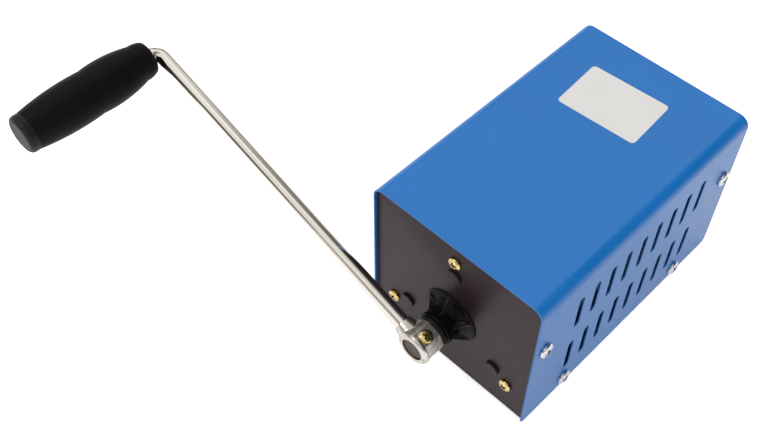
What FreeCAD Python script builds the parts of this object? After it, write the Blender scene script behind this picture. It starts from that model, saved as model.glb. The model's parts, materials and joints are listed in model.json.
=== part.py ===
import FreeCAD, Part
import math
import os
import Sketcher
from types import SimpleNamespace

# Hand crank generator: a folded steel case, a bearing hub with the crank in front of it, and
# inside it a step-up gear train, a three-phase generator and the output electronics.
# Frame: X to the right seen from the front, Y from the front to the rear, Z up.
# Origin: middle of the case's underside. Everything is in millimetres.

Vector = FreeCAD.Vector
Rotation = FreeCAD.Rotation
Placement = FreeCAD.Placement

doc = FreeCAD.newDocument("hand_crank_generator")

# Driving dimensions: name, value, what it measures
DIMENSIONS = [
    ("case_width", 100, "outside of the blue cover, left to right"),
    ("case_depth", 156, "outside of the blue cover, front to rear"),
    ("case_height", 97, "from the underside to the top of the cover"),
    ("cover_sheet", 0.8, "sheet thickness of the cover"),
    ("cover_bend", 6, "outside radius of the two top bends"),
    ("cover_lift", 1, "height of the cover's lower edges above the underside"),
    ("cover_corner", 2, "rounding of the cover's four lower corners"),
    ("slot_width", 3.8, "width of a cooling slot"),
    ("slot_length", 22.8, "overall length of a cooling slot"),
    ("slot_pitch", 11.8, "spacing of the slots along the case"),
    ("slot_columns", 9, "slots in each row"),
    ("slot_row_low", 29.3, "height of the middle of the lower row"),
    ("slot_row_high", 66.2, "height of the middle of the upper row"),
    ("chassis_sheet", 1.5, "sheet thickness of the black chassis"),
    ("chassis_bend", 2, "outside radius of the chassis' floor bends"),
    ("chassis_gap", 0.15, "play between chassis and cover"),
    ("wall_recess", 1.7, "how far the end walls sit inside the cover's edges"),
    ("wall_flange", 12, "length of the end walls' side flanges"),
    ("wall_flange_low", 22, "lower end of those flanges"),
    ("wall_flange_gap", 11, "from their upper end to the top of the cover"),
    ("floor_flange", 16, "height of the floor's side flanges"),
    ("floor_flange_length", 124, "length of the floor's side flanges"),
    ("case_screw_radius", 2, "M4 screws that hold the cover"),
    ("case_screw_head", 4.1, "head radius of the cover screws"),
    ("case_screw_head_height", 2.4, "head height of the cover screws"),
    ("case_screw_length", 6, "length of the cover screws under the head"),
    ("washer_thickness", 0.8, "thickness of every washer and clip"),
    ("high_screw", 61.5, "height of the upper cover screws"),
    ("low_screw", 8.5, "height of the lower cover screws"),
    ("high_screw_front", 7.3, "upper screw's distance from the front edge"),
    ("high_screw_rear", 9.1, "upper screw's distance from the rear edge"),
    ("low_screw_front", 30.7, "lower screw's distance from the front edge"),
    ("low_screw_rear", 33, "lower screw's distance from the rear edge"),
    ("screw_clearance", 0.2, "radial play of a screw in its hole"),
    ("nut_across", 7, "across flats of the M4 nuts"),
    ("nut_height", 3, "height of the M4 nuts"),
    ("shaft_height", 41.5, "height of the crank shaft over the underside"),
    ("shaft_radius", 6, "crank shaft"),
    ("running_clearance", 0.05, "radial play of a turning shaft in its bearing"),
    ("fixed_clearance", 0.02, "radial play of a part seated on another"),
    ("hub_length", 12, "bearing hub in front of the wall"),
    ("hub_foot_radius", 15.7, "hub's foot on the wall"),
    ("hub_foot_height", 1.8, "straight rim of the foot"),
    ("hub_neck_radius", 9, "hub's neck"),
    ("hub_cone_height", 6.2, "height where the foot's cone meets the neck"),
    ("hub_lip_radius", 9.5, "lip at the hub's free end"),
    ("hub_lip_height", 1.6, "length of that lip"),
    ("hub_ribs", 6, "ribs between foot and neck"),
    ("hub_rib_width", 3, "width of a rib"),
    ("hub_rib_rise", 0.8, "how far a rib stands out of the cone"),
    ("hub_step", 0.6, "small steps and slopes of the hub's outline"),
    ("hub_spigot_radius", 10, "threaded spigot through the wall"),
    ("hub_spigot_length", 5, "spigot behind the wall"),
    ("hub_nut_across", 26, "across flats of the hub's nut"),
    ("hub_nut_height", 3.6, "thickness of the hub's nut"),
    ("bush_wall", 1.6, "wall of the bronze bushes"),
    ("bush_length", 7, "length of each bush"),
    ("seal_radius", 8.4, "seal ring between hub and boss"),
    ("seal_length", 2.7, "length of the seal ring"),
    ("end_play", 0.15, "axial gap beside a turning part"),
    ("boss_radius", 9.2, "cast crank boss"),
    ("boss_length", 12.2, "length of the boss along the shaft"),
    ("boss_round", 1.6, "rounding of the boss' front edge"),
    ("boss_rim", 2.4, "round rim in front of the boss' flats"),
    ("boss_flat", 8.3, "distance of the clamp screw's flat from the shaft"),
    ("boss_facet", 8.5, "distance of the two flats beside it from the shaft"),
    ("boss_facet_step", 44, "angle from one flat to the next, degrees"),
    ("boss_socket_radius", 4.7, "end of the boss' collar round the rod"),
    ("boss_socket_root", 5.9, "root of that collar, where it leaves the boss"),
    ("boss_socket_reach", 12.4, "end of that collar, from the shaft's axis"),
    ("shaft_end_recess", 0.6, "how far the shaft ends inside the boss"),
    ("clamp_screw_radius", 2, "M4 clamp screw"),
    ("clamp_screw_head", 3.4, "head radius of the clamp screw"),
    ("clamp_screw_head_height", 2.3, "head height of the clamp screw"),
    ("rod_radius", 3.5, "bent crank rod"),
    ("rod_gap", 0.3, "gap between the rod's inner end and the shaft"),
    ("arm_length", 192, "from the shaft's axis to the grip's axis"),
    ("arm_setback", 5.9, "arm's axis behind the boss' front face"),
    ("arm_bend", 5.5, "bend radius of the rod's centre line"),
    ("arm_angle", 20, "arm above the horizontal at rest, degrees"),
    ("grip_start", 5.8, "grip's inner end in front of the arm's axis"),
    ("grip_length", 74, "length of the grip with its cap"),
    ("grip_inner_radius", 8.2, "grip's end beside the arm"),
    ("grip_shoulder_radius", 9.6, "grip radius past the rounded end"),
    ("grip_belly_radius", 11.6, "thickest part of the grip"),
    ("grip_outer_radius", 9.8, "grip radius before the cap"),
    ("grip_shoulder", 7, "distance of the shoulder from the inner end"),
    ("grip_belly", 34, "distance of the thickest part from the inner end"),
    ("grip_cap_length", 5, "cap in the outer end"),
    ("grip_pocket_radius", 6.6, "pocket for the retaining washer"),
    ("grip_pocket_depth", 17, "depth of that pocket from the grip's outer end"),
    ("pin_end_depth", 11, "rod's end inside the grip, from its outer end"),
    ("brass_screw_circle", 42.5, "circle of the three brass screws in the front wall"),
    ("brass_screw_length", 6, "length of the brass screws under the head"),
    ("front_plate_eye", 16, "hole of the front gear plate round the hub's nut"),
    ("pillar_circle", 33, "circle of the pillars between the gear plates"),
    ("pillar_across", 7, "across flats of the hexagonal pillars"),
    ("gear_screw_radius", 2, "M4 gearbox screws"),
    ("gear_screw_head", 3.4, "head radius of the gearbox screws"),
    ("gear_screw_head_height", 2.2, "head height of the gearbox screws"),
    ("gear_screw_length", 10, "length of the rear gearbox screws under the head"),
    ("pin_head_radius", 4, "head of a gear pin on the front wall"),
    ("pin_head_height", 1.5, "height of that head"),
    ("pin_radius", 2.5, "shank of a gear pin"),
    ("gear_module", 1, "tooth module"),
    ("pressure_angle", 25, "pressure angle of the teeth, degrees"),
    ("backlash", 0.16, "play between meshing flanks"),
    ("input_teeth", 51, "gear on the crank shaft"),
    ("pinion_teeth", 13, "small wheel of each cluster gear"),
    ("cluster_teeth", 37, "large wheel of each cluster gear"),
    ("rotor_teeth", 27, "pinion on the generator's rotor"),
    ("gear_width", 6.5, "face width of the wheels"),
    ("gearbox_depth", 25, "from the wall's inside to the rear gear plate"),
    ("gear_plate_sheet", 3, "thickness of the gear plates"),
    ("gear_plate_width", 88, "width of the gear plates"),
    ("gear_plate_low", 4, "lower edge of the gear plates"),
    ("gear_plate_high", 90, "upper edge of the gear plates"),
    ("gear_plate_corner", 13, "corners cut off the gear plates"),
    ("bearing_radius", 11, "outside of the rotor's ball bearings"),
    ("bearing_bore", 4, "rotor shaft and bearing bore radius"),
    ("bearing_width", 7, "width of a ball bearing"),
    ("bearing_seat_wall", 3, "wall round a bearing seat"),
    ("housing_radius", 39, "outside of the generator's tube"),
    ("housing_wall", 2, "wall of that tube"),
    ("housing_length", 38, "length of that tube"),
    ("stator_bore", 21, "radius of the stator's bore"),
    ("stator_length", 24, "length of the lamination stack"),
    ("stator_teeth", 12, "wound teeth of the stator"),
    ("stator_tooth_width", 5, "width of a stator tooth"),
    ("stator_yoke", 5, "ring behind the teeth"),
    ("stator_shoe", 2, "thickness of the tooth tips"),
    ("coil_thickness", 2.4, "thickness of the copper on a tooth"),
    ("air_gap", 0.4, "between magnet and stator"),
    ("magnet_thickness", 3.5, "wall of the ring magnet"),
    ("bell_thickness", 3, "wall of the generator's end bell"),
    ("tie_bolt_circle", 43.5, "circle of the four tie bolts"),
    ("tie_bolt_radius", 2, "M4 tie bolts"),
    ("tie_ear", 5.5, "ear radius round a tie bolt"),
    ("board_width", 76, "circuit board, left to right"),
    ("board_depth", 60, "circuit board, front to rear"),
    ("board_thickness", 1.6, "circuit board"),
    ("board_lift", 8, "board above the floor"),
    ("board_rear_gap", 8, "board to the rear wall"),
    ("board_screw_inset", 5, "board screws from the board's edges"),
    ("capacitor_radius", 8, "smoothing capacitors"),
    ("capacitor_height", 26, "smoothing capacitors"),
    ("rectifier_width", 25, "three-phase rectifier block"),
    ("rectifier_height", 9, "thickness of that block"),
    ("sink_width", 40, "heat sink on the board"),
    ("sink_height", 28, "height of the heat sink"),
    ("sink_fins", 7, "fins of the heat sink"),
    ("sink_gap", 1, "from the heat sink to the output sockets"),
    ("inductor_radius", 9.5, "ring core of the choke"),
    ("inductor_section", 3.6, "radius of the wound ring's section"),
    ("display_width", 30, "voltmeter bezel"),
    ("display_height", 17, "voltmeter bezel"),
    ("display_proud", 1.8, "bezel in front of the rear wall"),
    ("display_rim", 2.4, "rim of the bezel"),
    ("display_depth", 9, "voltmeter behind the wall"),
    ("display_x", -22, "middle of the voltmeter"),
    ("display_z", 66, "middle of the voltmeter"),
    ("knob_x", 22, "axis of the voltage knob"),
    ("knob_z", 66, "axis of the voltage knob"),
    ("knob_radius", 10, "voltage knob"),
    ("knob_height", 13, "voltage knob"),
    ("knob_flutes", 18, "grip flutes round the knob"),
    ("knob_shaft_radius", 3, "potentiometer shaft"),
    ("pot_radius", 8, "potentiometer body"),
    ("pot_depth", 9, "potentiometer body"),
    ("pot_bush_radius", 3.5, "threaded bush of the potentiometer"),
    ("socket_spacing", 19, "distance between the output sockets"),
    ("socket_z", 28, "height of the output sockets"),
    ("socket_bore", 2, "bore for a 4 mm plug"),
    ("socket_flange", 6, "flange radius of a socket"),
    ("socket_flange_height", 4, "flange in front of the rear wall"),
    ("socket_body", 4, "radius of the socket through the wall"),
    ("socket_depth", 16, "socket behind the wall"),
    ("socket_bore_depth", 14, "depth of the plug's bore"),
]

sheet = doc.addObject("Spreadsheet::Sheet", "Sizes")
for row, (alias, value, meaning) in enumerate(DIMENSIONS, start=1):
    sheet.set(f"A{row}", meaning)
    sheet.set(f"B{row}", str(value))
    sheet.setAlias(f"B{row}", alias)
doc.recompute()


class Size:
    """A dimension as a number, which places the geometry, and as the formula that drives it."""

    def __init__(self, number, formula):
        self.number = number
        self.formula = formula

    def __add__(self, other):
        other = as_size(other)
        return Size(self.number + other.number, f"({self.formula} + {other.formula})")

    def __radd__(self, other):
        return as_size(other) + self

    def __sub__(self, other):
        other = as_size(other)
        return Size(self.number - other.number, f"({self.formula} - {other.formula})")

    def __rsub__(self, other):
        return as_size(other) - self

    def __mul__(self, other):
        other = as_size(other)
        return Size(self.number * other.number, f"({self.formula} * {other.formula})")

    def __rmul__(self, other):
        return as_size(other) * self

    def __truediv__(self, other):
        other = as_size(other)
        return Size(self.number / other.number, f"({self.formula} / {other.formula})")

    def __neg__(self):
        return Size(-self.number, f"(-1 * {self.formula})")


def as_size(value):
    """Accept a plain number wherever a Size is wanted."""
    if isinstance(value, Size):
        return value
    return Size(value, f"({value})")


D = SimpleNamespace()
for alias, value, meaning in DIMENSIONS:
    setattr(D, alias, Size(float(sheet.get(alias)), f"Sizes.{alias}"))


# Places that several pieces share
half_width = D.case_width / 2
front_edge = -D.case_depth / 2
rear_edge = D.case_depth / 2
wall_front = front_edge + D.wall_recess
wall_back = wall_front + D.chassis_sheet
rear_wall_outer = rear_edge - D.wall_recess
rear_wall_inner = rear_wall_outer - D.chassis_sheet
chassis_half = half_width - D.cover_sheet - D.chassis_gap
floor_top = D.chassis_sheet
hub_front = wall_front - D.hub_length
boss_back = hub_front - D.seal_length - D.end_play * 2
boss_front = boss_back - D.boss_length
arm_y = boss_front + D.arm_setback
gear_plate_front = wall_back + D.gearbox_depth
gear_plate_back = gear_plate_front + D.gear_plate_sheet
front_plate_back = wall_back + D.gear_plate_sheet
spigot_end = wall_back + D.hub_spigot_length
housing_back = gear_plate_back + D.housing_length
pin_circle = D.gear_module * (D.input_teeth + D.pinion_teeth) / 2
BRANCH_ANGLES = {"top": 90, "left": 210, "right": 330}
PILLAR_ANGLES = (30, 150, 270)
TIE_BOLT_ANGLES = (45, 135, 225, 315)
COVER_SCREWS = [
    (front_edge + D.high_screw_front, D.high_screw),
    (rear_edge - D.high_screw_rear, D.high_screw),
    (front_edge + D.low_screw_front, D.low_screw),
    (rear_edge - D.low_screw_rear, D.low_screw),
]

# Every finished piece of the machine, in the order in which it is written out
pieces = []


def new_body(label):
    """Start a piece that is built from sketches."""
    body = doc.addObject("PartDesign::Body", label)
    body.Label = label
    pieces.append(body)
    return body


def place(piece, x=0, y=0, z=0, rotation=None):
    """Put a piece at its place; the place follows the sheet."""
    x, y, z = as_size(x), as_size(y), as_size(z)
    piece.Placement = Placement(Vector(x.number, y.number, z.number), rotation or Rotation())
    piece.setExpression("Placement.Base.x", x.formula)
    piece.setExpression("Placement.Base.y", y.formula)
    piece.setExpression("Placement.Base.z", z.formula)
    return piece


def new_sketch(body, plane, at=None):
    """Attach a sketch to one of the body's own planes, at a distance along X, Y or Z."""
    sketch = body.newObject("Sketcher::SketchObject", body.Name + "_sketch")
    support = [item for item in body.Origin.OriginFeatures if item.Role == plane][0]
    sketch.AttachmentSupport = [(support, "")]
    sketch.MapMode = "FlatFace"
    if at is not None:
        offset = -at if plane == "XZ_Plane" else as_size(at)
        sketch.AttachmentOffset = Placement(Vector(0, 0, offset.number), Rotation())
        sketch.setExpression("AttachmentOffset.Base.z", offset.formula)
    return sketch


def pin_down(sketch, side, end, x, y):
    """Fix one point of a sketch at x, y from the sketch's origin."""
    for kind, axis, value in (("DistanceX", -2, x), ("DistanceY", -1, y)):
        if not isinstance(value, Size) and value == 0:
            sketch.addConstraint(Sketcher.Constraint("PointOnObject", side, end, axis))
            continue
        value = as_size(value)
        index = sketch.addConstraint(Sketcher.Constraint(kind, -1, 1, side, end, value.number))
        sketch.setExpression(f"Constraints[{index}]", value.formula)


def set_radius(sketch, side, radius):
    """Give an arc or a circle of a sketch its radius."""
    index = sketch.addConstraint(Sketcher.Constraint("Radius", side, radius.number))
    sketch.setExpression(f"Constraints[{index}]", radius.formula)


def arc_between(start, end, radius, hollow):
    """The short arc from start to end, to the right of the way unless it is hollow."""
    chord = end - start
    middle = (start + end) * 0.5
    leftward = Vector(-chord.y, chord.x, 0).normalize()
    height = math.sqrt(radius ** 2 - (chord.Length / 2) ** 2)
    centre = middle + leftward * (-height if hollow else height)
    first, last = (end, start) if hollow else (start, end)
    angle_first = math.atan2(first.y - centre.y, first.x - centre.x)
    angle_last = math.atan2(last.y - centre.y, last.x - centre.x)
    if angle_last < angle_first:
        angle_last += 2 * math.pi
    return Part.ArcOfCircle(Part.Circle(centre, Vector(0, 0, 1), radius), angle_first, angle_last)


def add_outline(sketch, corners, arcs=None, hollows=None):
    """Draw a closed outline, anticlockwise; arcs and hollows give the radii of its round sides."""
    arcs = arcs or {}
    hollows = hollows or {}
    first = sketch.GeometryCount
    count = len(corners)
    points = [Vector(as_size(x).number, as_size(y).number, 0) for x, y in corners]
    for side in range(count):
        start, end = points[side], points[(side + 1) % count]
        if side in arcs:
            sketch.addGeometry(arc_between(start, end, arcs[side].number, False), False)
        elif side in hollows:
            sketch.addGeometry(arc_between(start, end, hollows[side].number, True), False)
        else:
            sketch.addGeometry(Part.LineSegment(start, end), False)
    for side in range(count):
        following = (side + 1) % count
        end = 1 if side in hollows else 2
        start = 2 if following in hollows else 1
        joint = Sketcher.Constraint("Coincident", first + side, end, first + following, start)
        sketch.addConstraint(joint)
        pin_down(sketch, first + side, 2 if side in hollows else 1, *corners[side])
    for side, radius in list(arcs.items()) + list(hollows.items()):
        set_radius(sketch, first + side, radius)


def add_circle(sketch, x, y, radius):
    """Draw a circle."""
    centre = Vector(as_size(x).number, as_size(y).number, 0)
    side = sketch.addGeometry(Part.Circle(centre, Vector(0, 0, 1), radius.number), False)
    pin_down(sketch, side, 3, x, y)
    set_radius(sketch, side, radius)


def add_upright_slot(sketch, x, middle, length, width):
    """Draw a round-ended slot that stands upright."""
    radius = width / 2
    reach = length / 2 - radius
    high, low = middle + reach, middle - reach
    first = sketch.GeometryCount
    centres = [Vector(as_size(x).number, high.number, 0), Vector(as_size(x).number, low.number, 0)]
    r = radius.number
    up = Vector(0, 0, 1)
    shapes = [
        Part.ArcOfCircle(Part.Circle(centres[0], up, r), 0, math.pi),
        Part.LineSegment(centres[0] + Vector(-r, 0, 0), centres[1] + Vector(-r, 0, 0)),
        Part.ArcOfCircle(Part.Circle(centres[1], up, r), math.pi, 2 * math.pi),
        Part.LineSegment(centres[1] + Vector(r, 0, 0), centres[0] + Vector(r, 0, 0)),
    ]
    sketch.addGeometry(shapes, False)
    for side in range(4):
        following = first + (side + 1) % 4
        sketch.addConstraint(Sketcher.Constraint("Tangent", first + side, 2, following, 1))
    sketch.addConstraint(Sketcher.Constraint("Equal", first, first + 2))
    sketch.addConstraint(Sketcher.Constraint("Vertical", first + 1))
    set_radius(sketch, first, radius)
    pin_down(sketch, first, 3, x, high)
    index = sketch.addConstraint(Sketcher.Constraint("DistanceY", -1, 1, first + 2, 3, low.number))
    sketch.setExpression(f"Constraints[{index}]", low.formula)


def rectangle(x_low, x_high, y_low, y_high):
    """The four corners of a rectangle, anticlockwise."""
    return [(x_low, y_low), (x_high, y_low), (x_high, y_high), (x_low, y_high)]


def hexagon(x, y, across, turn=0):
    """The corners of a hexagon with the given width across its flats."""
    corner = across / math.sqrt(3)
    angles = [math.radians(turn + 60 * step) for step in range(6)]
    return [(x + corner * math.cos(angle), y + corner * math.sin(angle)) for angle in angles]


def on_circle(radius, degrees):
    """A point on a circle round the origin."""
    angle = math.radians(degrees)
    return radius * math.cos(angle), radius * math.sin(angle)


def turned_corners(corners, degrees):
    """The same corners, turned round the origin."""
    cosine, sine = on_circle(1, degrees)
    return [(x * cosine - y * sine, x * sine + y * cosine) for x, y in corners]


def pad(body, sketch, length, backwards=False, middle=False):
    """Raise a sketch into a solid."""
    feature = body.newObject("PartDesign::Pad", body.Name + "_pad")
    feature.Profile = sketch
    feature.setExpression("Length", as_size(length).formula)
    feature.Reversed = backwards
    feature.Midplane = middle
    return feature


def cut(body, sketch, length=None, backwards=False, middle=False):
    """Cut a sketch out of the body, right through unless a length is given."""
    feature = body.newObject("PartDesign::Pocket", body.Name + "_cut")
    feature.Profile = sketch
    if length is None:
        feature.Type = "ThroughAll"
    else:
        feature.setExpression("Length", as_size(length).formula)
    feature.Reversed = backwards
    feature.Midplane = middle
    return feature


def turn(body, sketch, groove=False):
    """Revolve a sketch round the body's Y axis."""
    kind = "PartDesign::Groove" if groove else "PartDesign::Revolution"
    feature = body.newObject(kind, body.Name + "_turned")
    feature.Profile = sketch
    feature.ReferenceAxis = (sketch, ["V_Axis"])
    feature.Angle = 360
    return feature


def turned_body(label, corners, arcs=None, hollows=None):
    """A turned piece: corners are (radius, distance along Y)."""
    body = new_body(label)
    sketch = new_sketch(body, "XY_Plane")
    add_outline(sketch, corners, arcs, hollows)
    turn(body, sketch)
    return body


def ring(label, bore, radius, length):
    """A plain turned ring that starts at y = 0 and runs backwards."""
    return turned_body(label, rectangle(bore, radius, 0, length))


def around(body, feature, count, axis):
    """Repeat a feature round an axis of the body's origin."""
    doc.recompute()
    pattern = body.newObject("PartDesign::PolarPattern", body.Name + "_round")
    pattern.Originals = [feature]
    support = [item for item in body.Origin.OriginFeatures if item.Role == axis][0]
    pattern.Axis = (support, [""])
    pattern.Angle = 360
    pattern.setExpression("Occurrences", as_size(count).formula)
    body.Tip = pattern
    return pattern


def soften(body, radius, wanted, kind="Fillet"):
    """Round or bevel those edges of the body so far that the test picks."""
    doc.recompute()
    base = body.Tip
    names = [f"Edge{i}" for i, edge in enumerate(base.Shape.Edges, start=1) if wanted(edge)]
    feature = body.newObject("PartDesign::" + kind, body.Name + "_" + kind.lower())
    feature.Base = (base, names)
    feature.setExpression("Radius" if kind == "Fillet" else "Size", as_size(radius).formula)
    return feature


def ends_of(edge):
    """Both end points of an edge."""
    return [vertex.Point for vertex in edge.Vertexes]


def runs_along(edge, **fixed):
    """True for a straight edge whose ends both lie at the fixed coordinates."""
    ends = ends_of(edge)
    if len(ends) != 2 or edge.Curve.TypeId != "Part::GeomLine":
        return False
    return all(abs(getattr(end, axis) - value) < 1e-4 for end in ends for axis, value in fixed.items())


def is_rim(edge, radius, y):
    """True for a full circle round the Y axis with this radius, at this y."""
    if edge.Curve.TypeId != "Part::GeomCircle":
        return False
    return abs(edge.Curve.Radius - radius) < 1e-4 and abs(edge.Curve.Center.y - y) < 1e-4


def fixed_feature(label, shape, placement=None):
    """A piece whose shape is worked out with solid geometry from the sheet's sizes."""
    feature = doc.addObject("Part::Feature", label)
    feature.Label = label
    feature.Shape = shape
    feature.Placement = placement or Placement()
    pieces.append(feature)
    return feature


def group(label, solids):
    """Several equal fasteners that share one node."""
    return fixed_feature(label, Part.makeCompound(solids))


def rod_solid(radius, length, start=0, direction=Vector(0, 1, 0)):
    """A plain cylinder that starts at a distance along its direction."""
    return Part.makeCylinder(radius, length, direction * start, direction)


def pan_screw(radius, head_radius, head_height, length):
    """A pan head screw: the head's underside is at y = 0, the shank points to +Y."""
    crown = head_height * 0.45
    head = rod_solid(head_radius, head_height, -head_height)
    rim = [edge for edge in head.Edges if is_rim(edge, head_radius, -head_height)]
    head = head.makeFillet(crown, rim)
    return head.fuse(rod_solid(radius, length)).removeSplitter()


def nut_solid(across, bore, height):
    """A hexagon nut that starts at y = 0 and runs to +Y."""
    corners = [Vector(x, 0, z) for x, z in hexagon(0, 0, across)]
    face = Part.Face(Part.makePolygon(corners + corners[:1]))
    return face.extrude(Vector(0, height, 0)).cut(rod_solid(bore, height * 3, -height))


def set_at(solid, x, y, z, rotation=None):
    """A copy of a solid, turned and moved to its place."""
    copy = solid.copy()
    copy.Placement = Placement(Vector(x, y, z), rotation or Rotation())
    return copy


FACING_RIGHT = Rotation(Vector(0, 1, 0), Vector(-1, 0, 0))
FACING_LEFT = Rotation(Vector(0, 1, 0), Vector(1, 0, 0))
FACING_REAR = Rotation(Vector(0, 0, 1), 180)
FACING_UP = Rotation(Vector(0, 1, 0), Vector(0, 0, -1))


# Case

def make_cover():
    """Blue cover: one sheet folded into an upside-down U, slotted on both sides."""
    body = new_body("cover")
    inner = half_width - D.cover_sheet
    ceiling = D.case_height - D.cover_sheet
    sketch = new_sketch(body, "XZ_Plane")
    add_outline(sketch, [
        (-half_width, D.cover_lift),
        (-inner, D.cover_lift),
        (-inner, ceiling),
        (inner, ceiling),
        (inner, D.cover_lift),
        (half_width, D.cover_lift),
        (half_width, D.case_height),
        (-half_width, D.case_height),
    ])
    pad(body, sketch, D.case_depth, middle=True)
    outside, top = half_width.number, D.case_height.number
    soften(body, D.cover_bend,
           lambda edge: runs_along(edge, x=outside, z=top) or runs_along(edge, x=-outside, z=top))
    inside, under = inner.number, ceiling.number
    soften(body, D.cover_bend - D.cover_sheet,
           lambda edge: runs_along(edge, x=inside, z=under) or runs_along(edge, x=-inside, z=under))
    ends = (front_edge.number, rear_edge.number)
    low = D.cover_lift.number
    soften(body, D.cover_corner,
           lambda edge: any(runs_along(edge, y=end, z=low) for end in ends))
    holes = new_sketch(body, "YZ_Plane")
    for y, z in COVER_SCREWS:
        add_circle(holes, y, z, D.case_screw_radius + D.screw_clearance)
    cut(body, holes, middle=True)
    slots = new_sketch(body, "YZ_Plane")
    span = D.slot_pitch * (D.slot_columns - 1)
    for height in (D.slot_row_low, D.slot_row_high):
        add_upright_slot(slots, -span / 2, height, D.slot_length, D.slot_width)
    first_column = cut(body, slots, middle=True)
    doc.recompute()
    columns = body.newObject("PartDesign::LinearPattern", "cover_columns")
    columns.Originals = [first_column]
    along = [item for item in body.Origin.OriginFeatures if item.Role == "Y_Axis"][0]
    columns.Direction = (along, [""])
    columns.setExpression("Length", span.formula)
    columns.setExpression("Occurrences", D.slot_columns.formula)
    body.Tip = columns
    place(body)


def front_wall_holes():
    """Holes of the front wall: x, z and radius."""
    holes = [(0, D.shaft_height, D.hub_spigot_radius + D.fixed_clearance)]
    for angle in BRANCH_ANGLES.values():
        x, z = on_circle(pin_circle, angle)
        holes.append((x, D.shaft_height + z, D.pin_radius + D.fixed_clearance))
        x, z = on_circle(D.brass_screw_circle, angle)
        holes.append((x, D.shaft_height + z, D.gear_screw_radius + D.screw_clearance))
    return holes


display_cut = D.display_rim - 1


def make_chassis():
    """Black chassis: floor and both end walls from one sheet, with flanges for the cover."""
    body = new_body("chassis")
    top = D.case_height - D.cover_sheet - D.chassis_gap * 2
    profile = new_sketch(body, "YZ_Plane")
    add_outline(profile, [
        (wall_front, 0),
        (rear_wall_outer, 0),
        (rear_wall_outer, top),
        (rear_wall_inner, top),
        (rear_wall_inner, floor_top),
        (wall_back, floor_top),
        (wall_back, top),
        (wall_front, top),
    ])
    pad(body, profile, chassis_half * 2, middle=True)
    ends = (wall_front.number, rear_wall_outer.number)
    soften(body, D.chassis_bend,
           lambda edge: any(runs_along(edge, y=end, z=0) for end in ends))
    side, high = chassis_half.number, top.number
    soften(body, D.cover_bend - D.cover_sheet - D.chassis_gap,
           lambda edge: any(runs_along(edge, x=x, z=high) for x in (side, -side)))
    sheet_inside = chassis_half - D.chassis_sheet
    flange_high = D.case_height - D.wall_flange_gap
    for plane_y, backwards in ((wall_back, True), (rear_wall_inner, False)):
        flanges = new_sketch(body, "XZ_Plane", at=plane_y)
        add_outline(flanges, rectangle(
            sheet_inside, chassis_half, D.wall_flange_low, flange_high))
        add_outline(flanges, rectangle(
            -chassis_half, -sheet_inside, D.wall_flange_low, flange_high))
        pad(body, flanges, D.wall_flange - D.chassis_sheet, backwards=backwards)
    flanges = new_sketch(body, "XY_Plane", at=floor_top)
    reach = D.floor_flange_length / 2
    add_outline(flanges, rectangle(sheet_inside, chassis_half, -reach, reach))
    add_outline(flanges, rectangle(-chassis_half, -sheet_inside, -reach, reach))
    pad(body, flanges, D.floor_flange - floor_top)
    holes = new_sketch(body, "YZ_Plane")
    for y, z in COVER_SCREWS:
        add_circle(holes, y, z, D.case_screw_radius + D.screw_clearance)
    cut(body, holes, middle=True)
    holes = new_sketch(body, "XZ_Plane", at=wall_front)
    for x, z, radius in front_wall_holes():
        add_circle(holes, x, z, radius)
    cut(body, holes, D.chassis_sheet * 2)
    holes = new_sketch(body, "XZ_Plane", at=rear_wall_inner)
    half_x = D.display_width / 2 - display_cut
    half_z = D.display_height / 2 - display_cut
    add_outline(holes, rectangle(D.display_x - half_x, D.display_x + half_x,
                                 D.display_z - half_z, D.display_z + half_z))
    add_circle(holes, D.knob_x, D.knob_z, D.pot_bush_radius + D.screw_clearance)
    for x in (-D.socket_spacing / 2, D.socket_spacing / 2):
        add_circle(holes, x, D.socket_z, D.socket_body + D.screw_clearance)
    cut(body, holes, D.chassis_sheet * 2)
    place(body)


def make_cover_fasteners():
    """Eight screws, and the nuts pressed into the chassis flanges for them."""
    screw = pan_screw(D.case_screw_radius.number, D.case_screw_head.number,
                      D.case_screw_head_height.number, D.case_screw_length.number)
    nut = nut_solid(D.nut_across.number, D.case_screw_radius.number + D.fixed_clearance.number,
                    D.nut_height.number)
    outside = half_width.number
    inside = chassis_half.number - D.chassis_sheet.number
    screws, nuts = [], []
    for y, z in COVER_SCREWS:
        for sign, facing in ((1, FACING_RIGHT), (-1, FACING_LEFT)):
            screws.append(set_at(screw, sign * outside, y.number, z.number, facing))
            nuts.append(set_at(nut, sign * inside, y.number, z.number, facing))
    group("cover_screws", screws)
    group("flange_nuts", nuts)


# Bearing hub on the front wall

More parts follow.
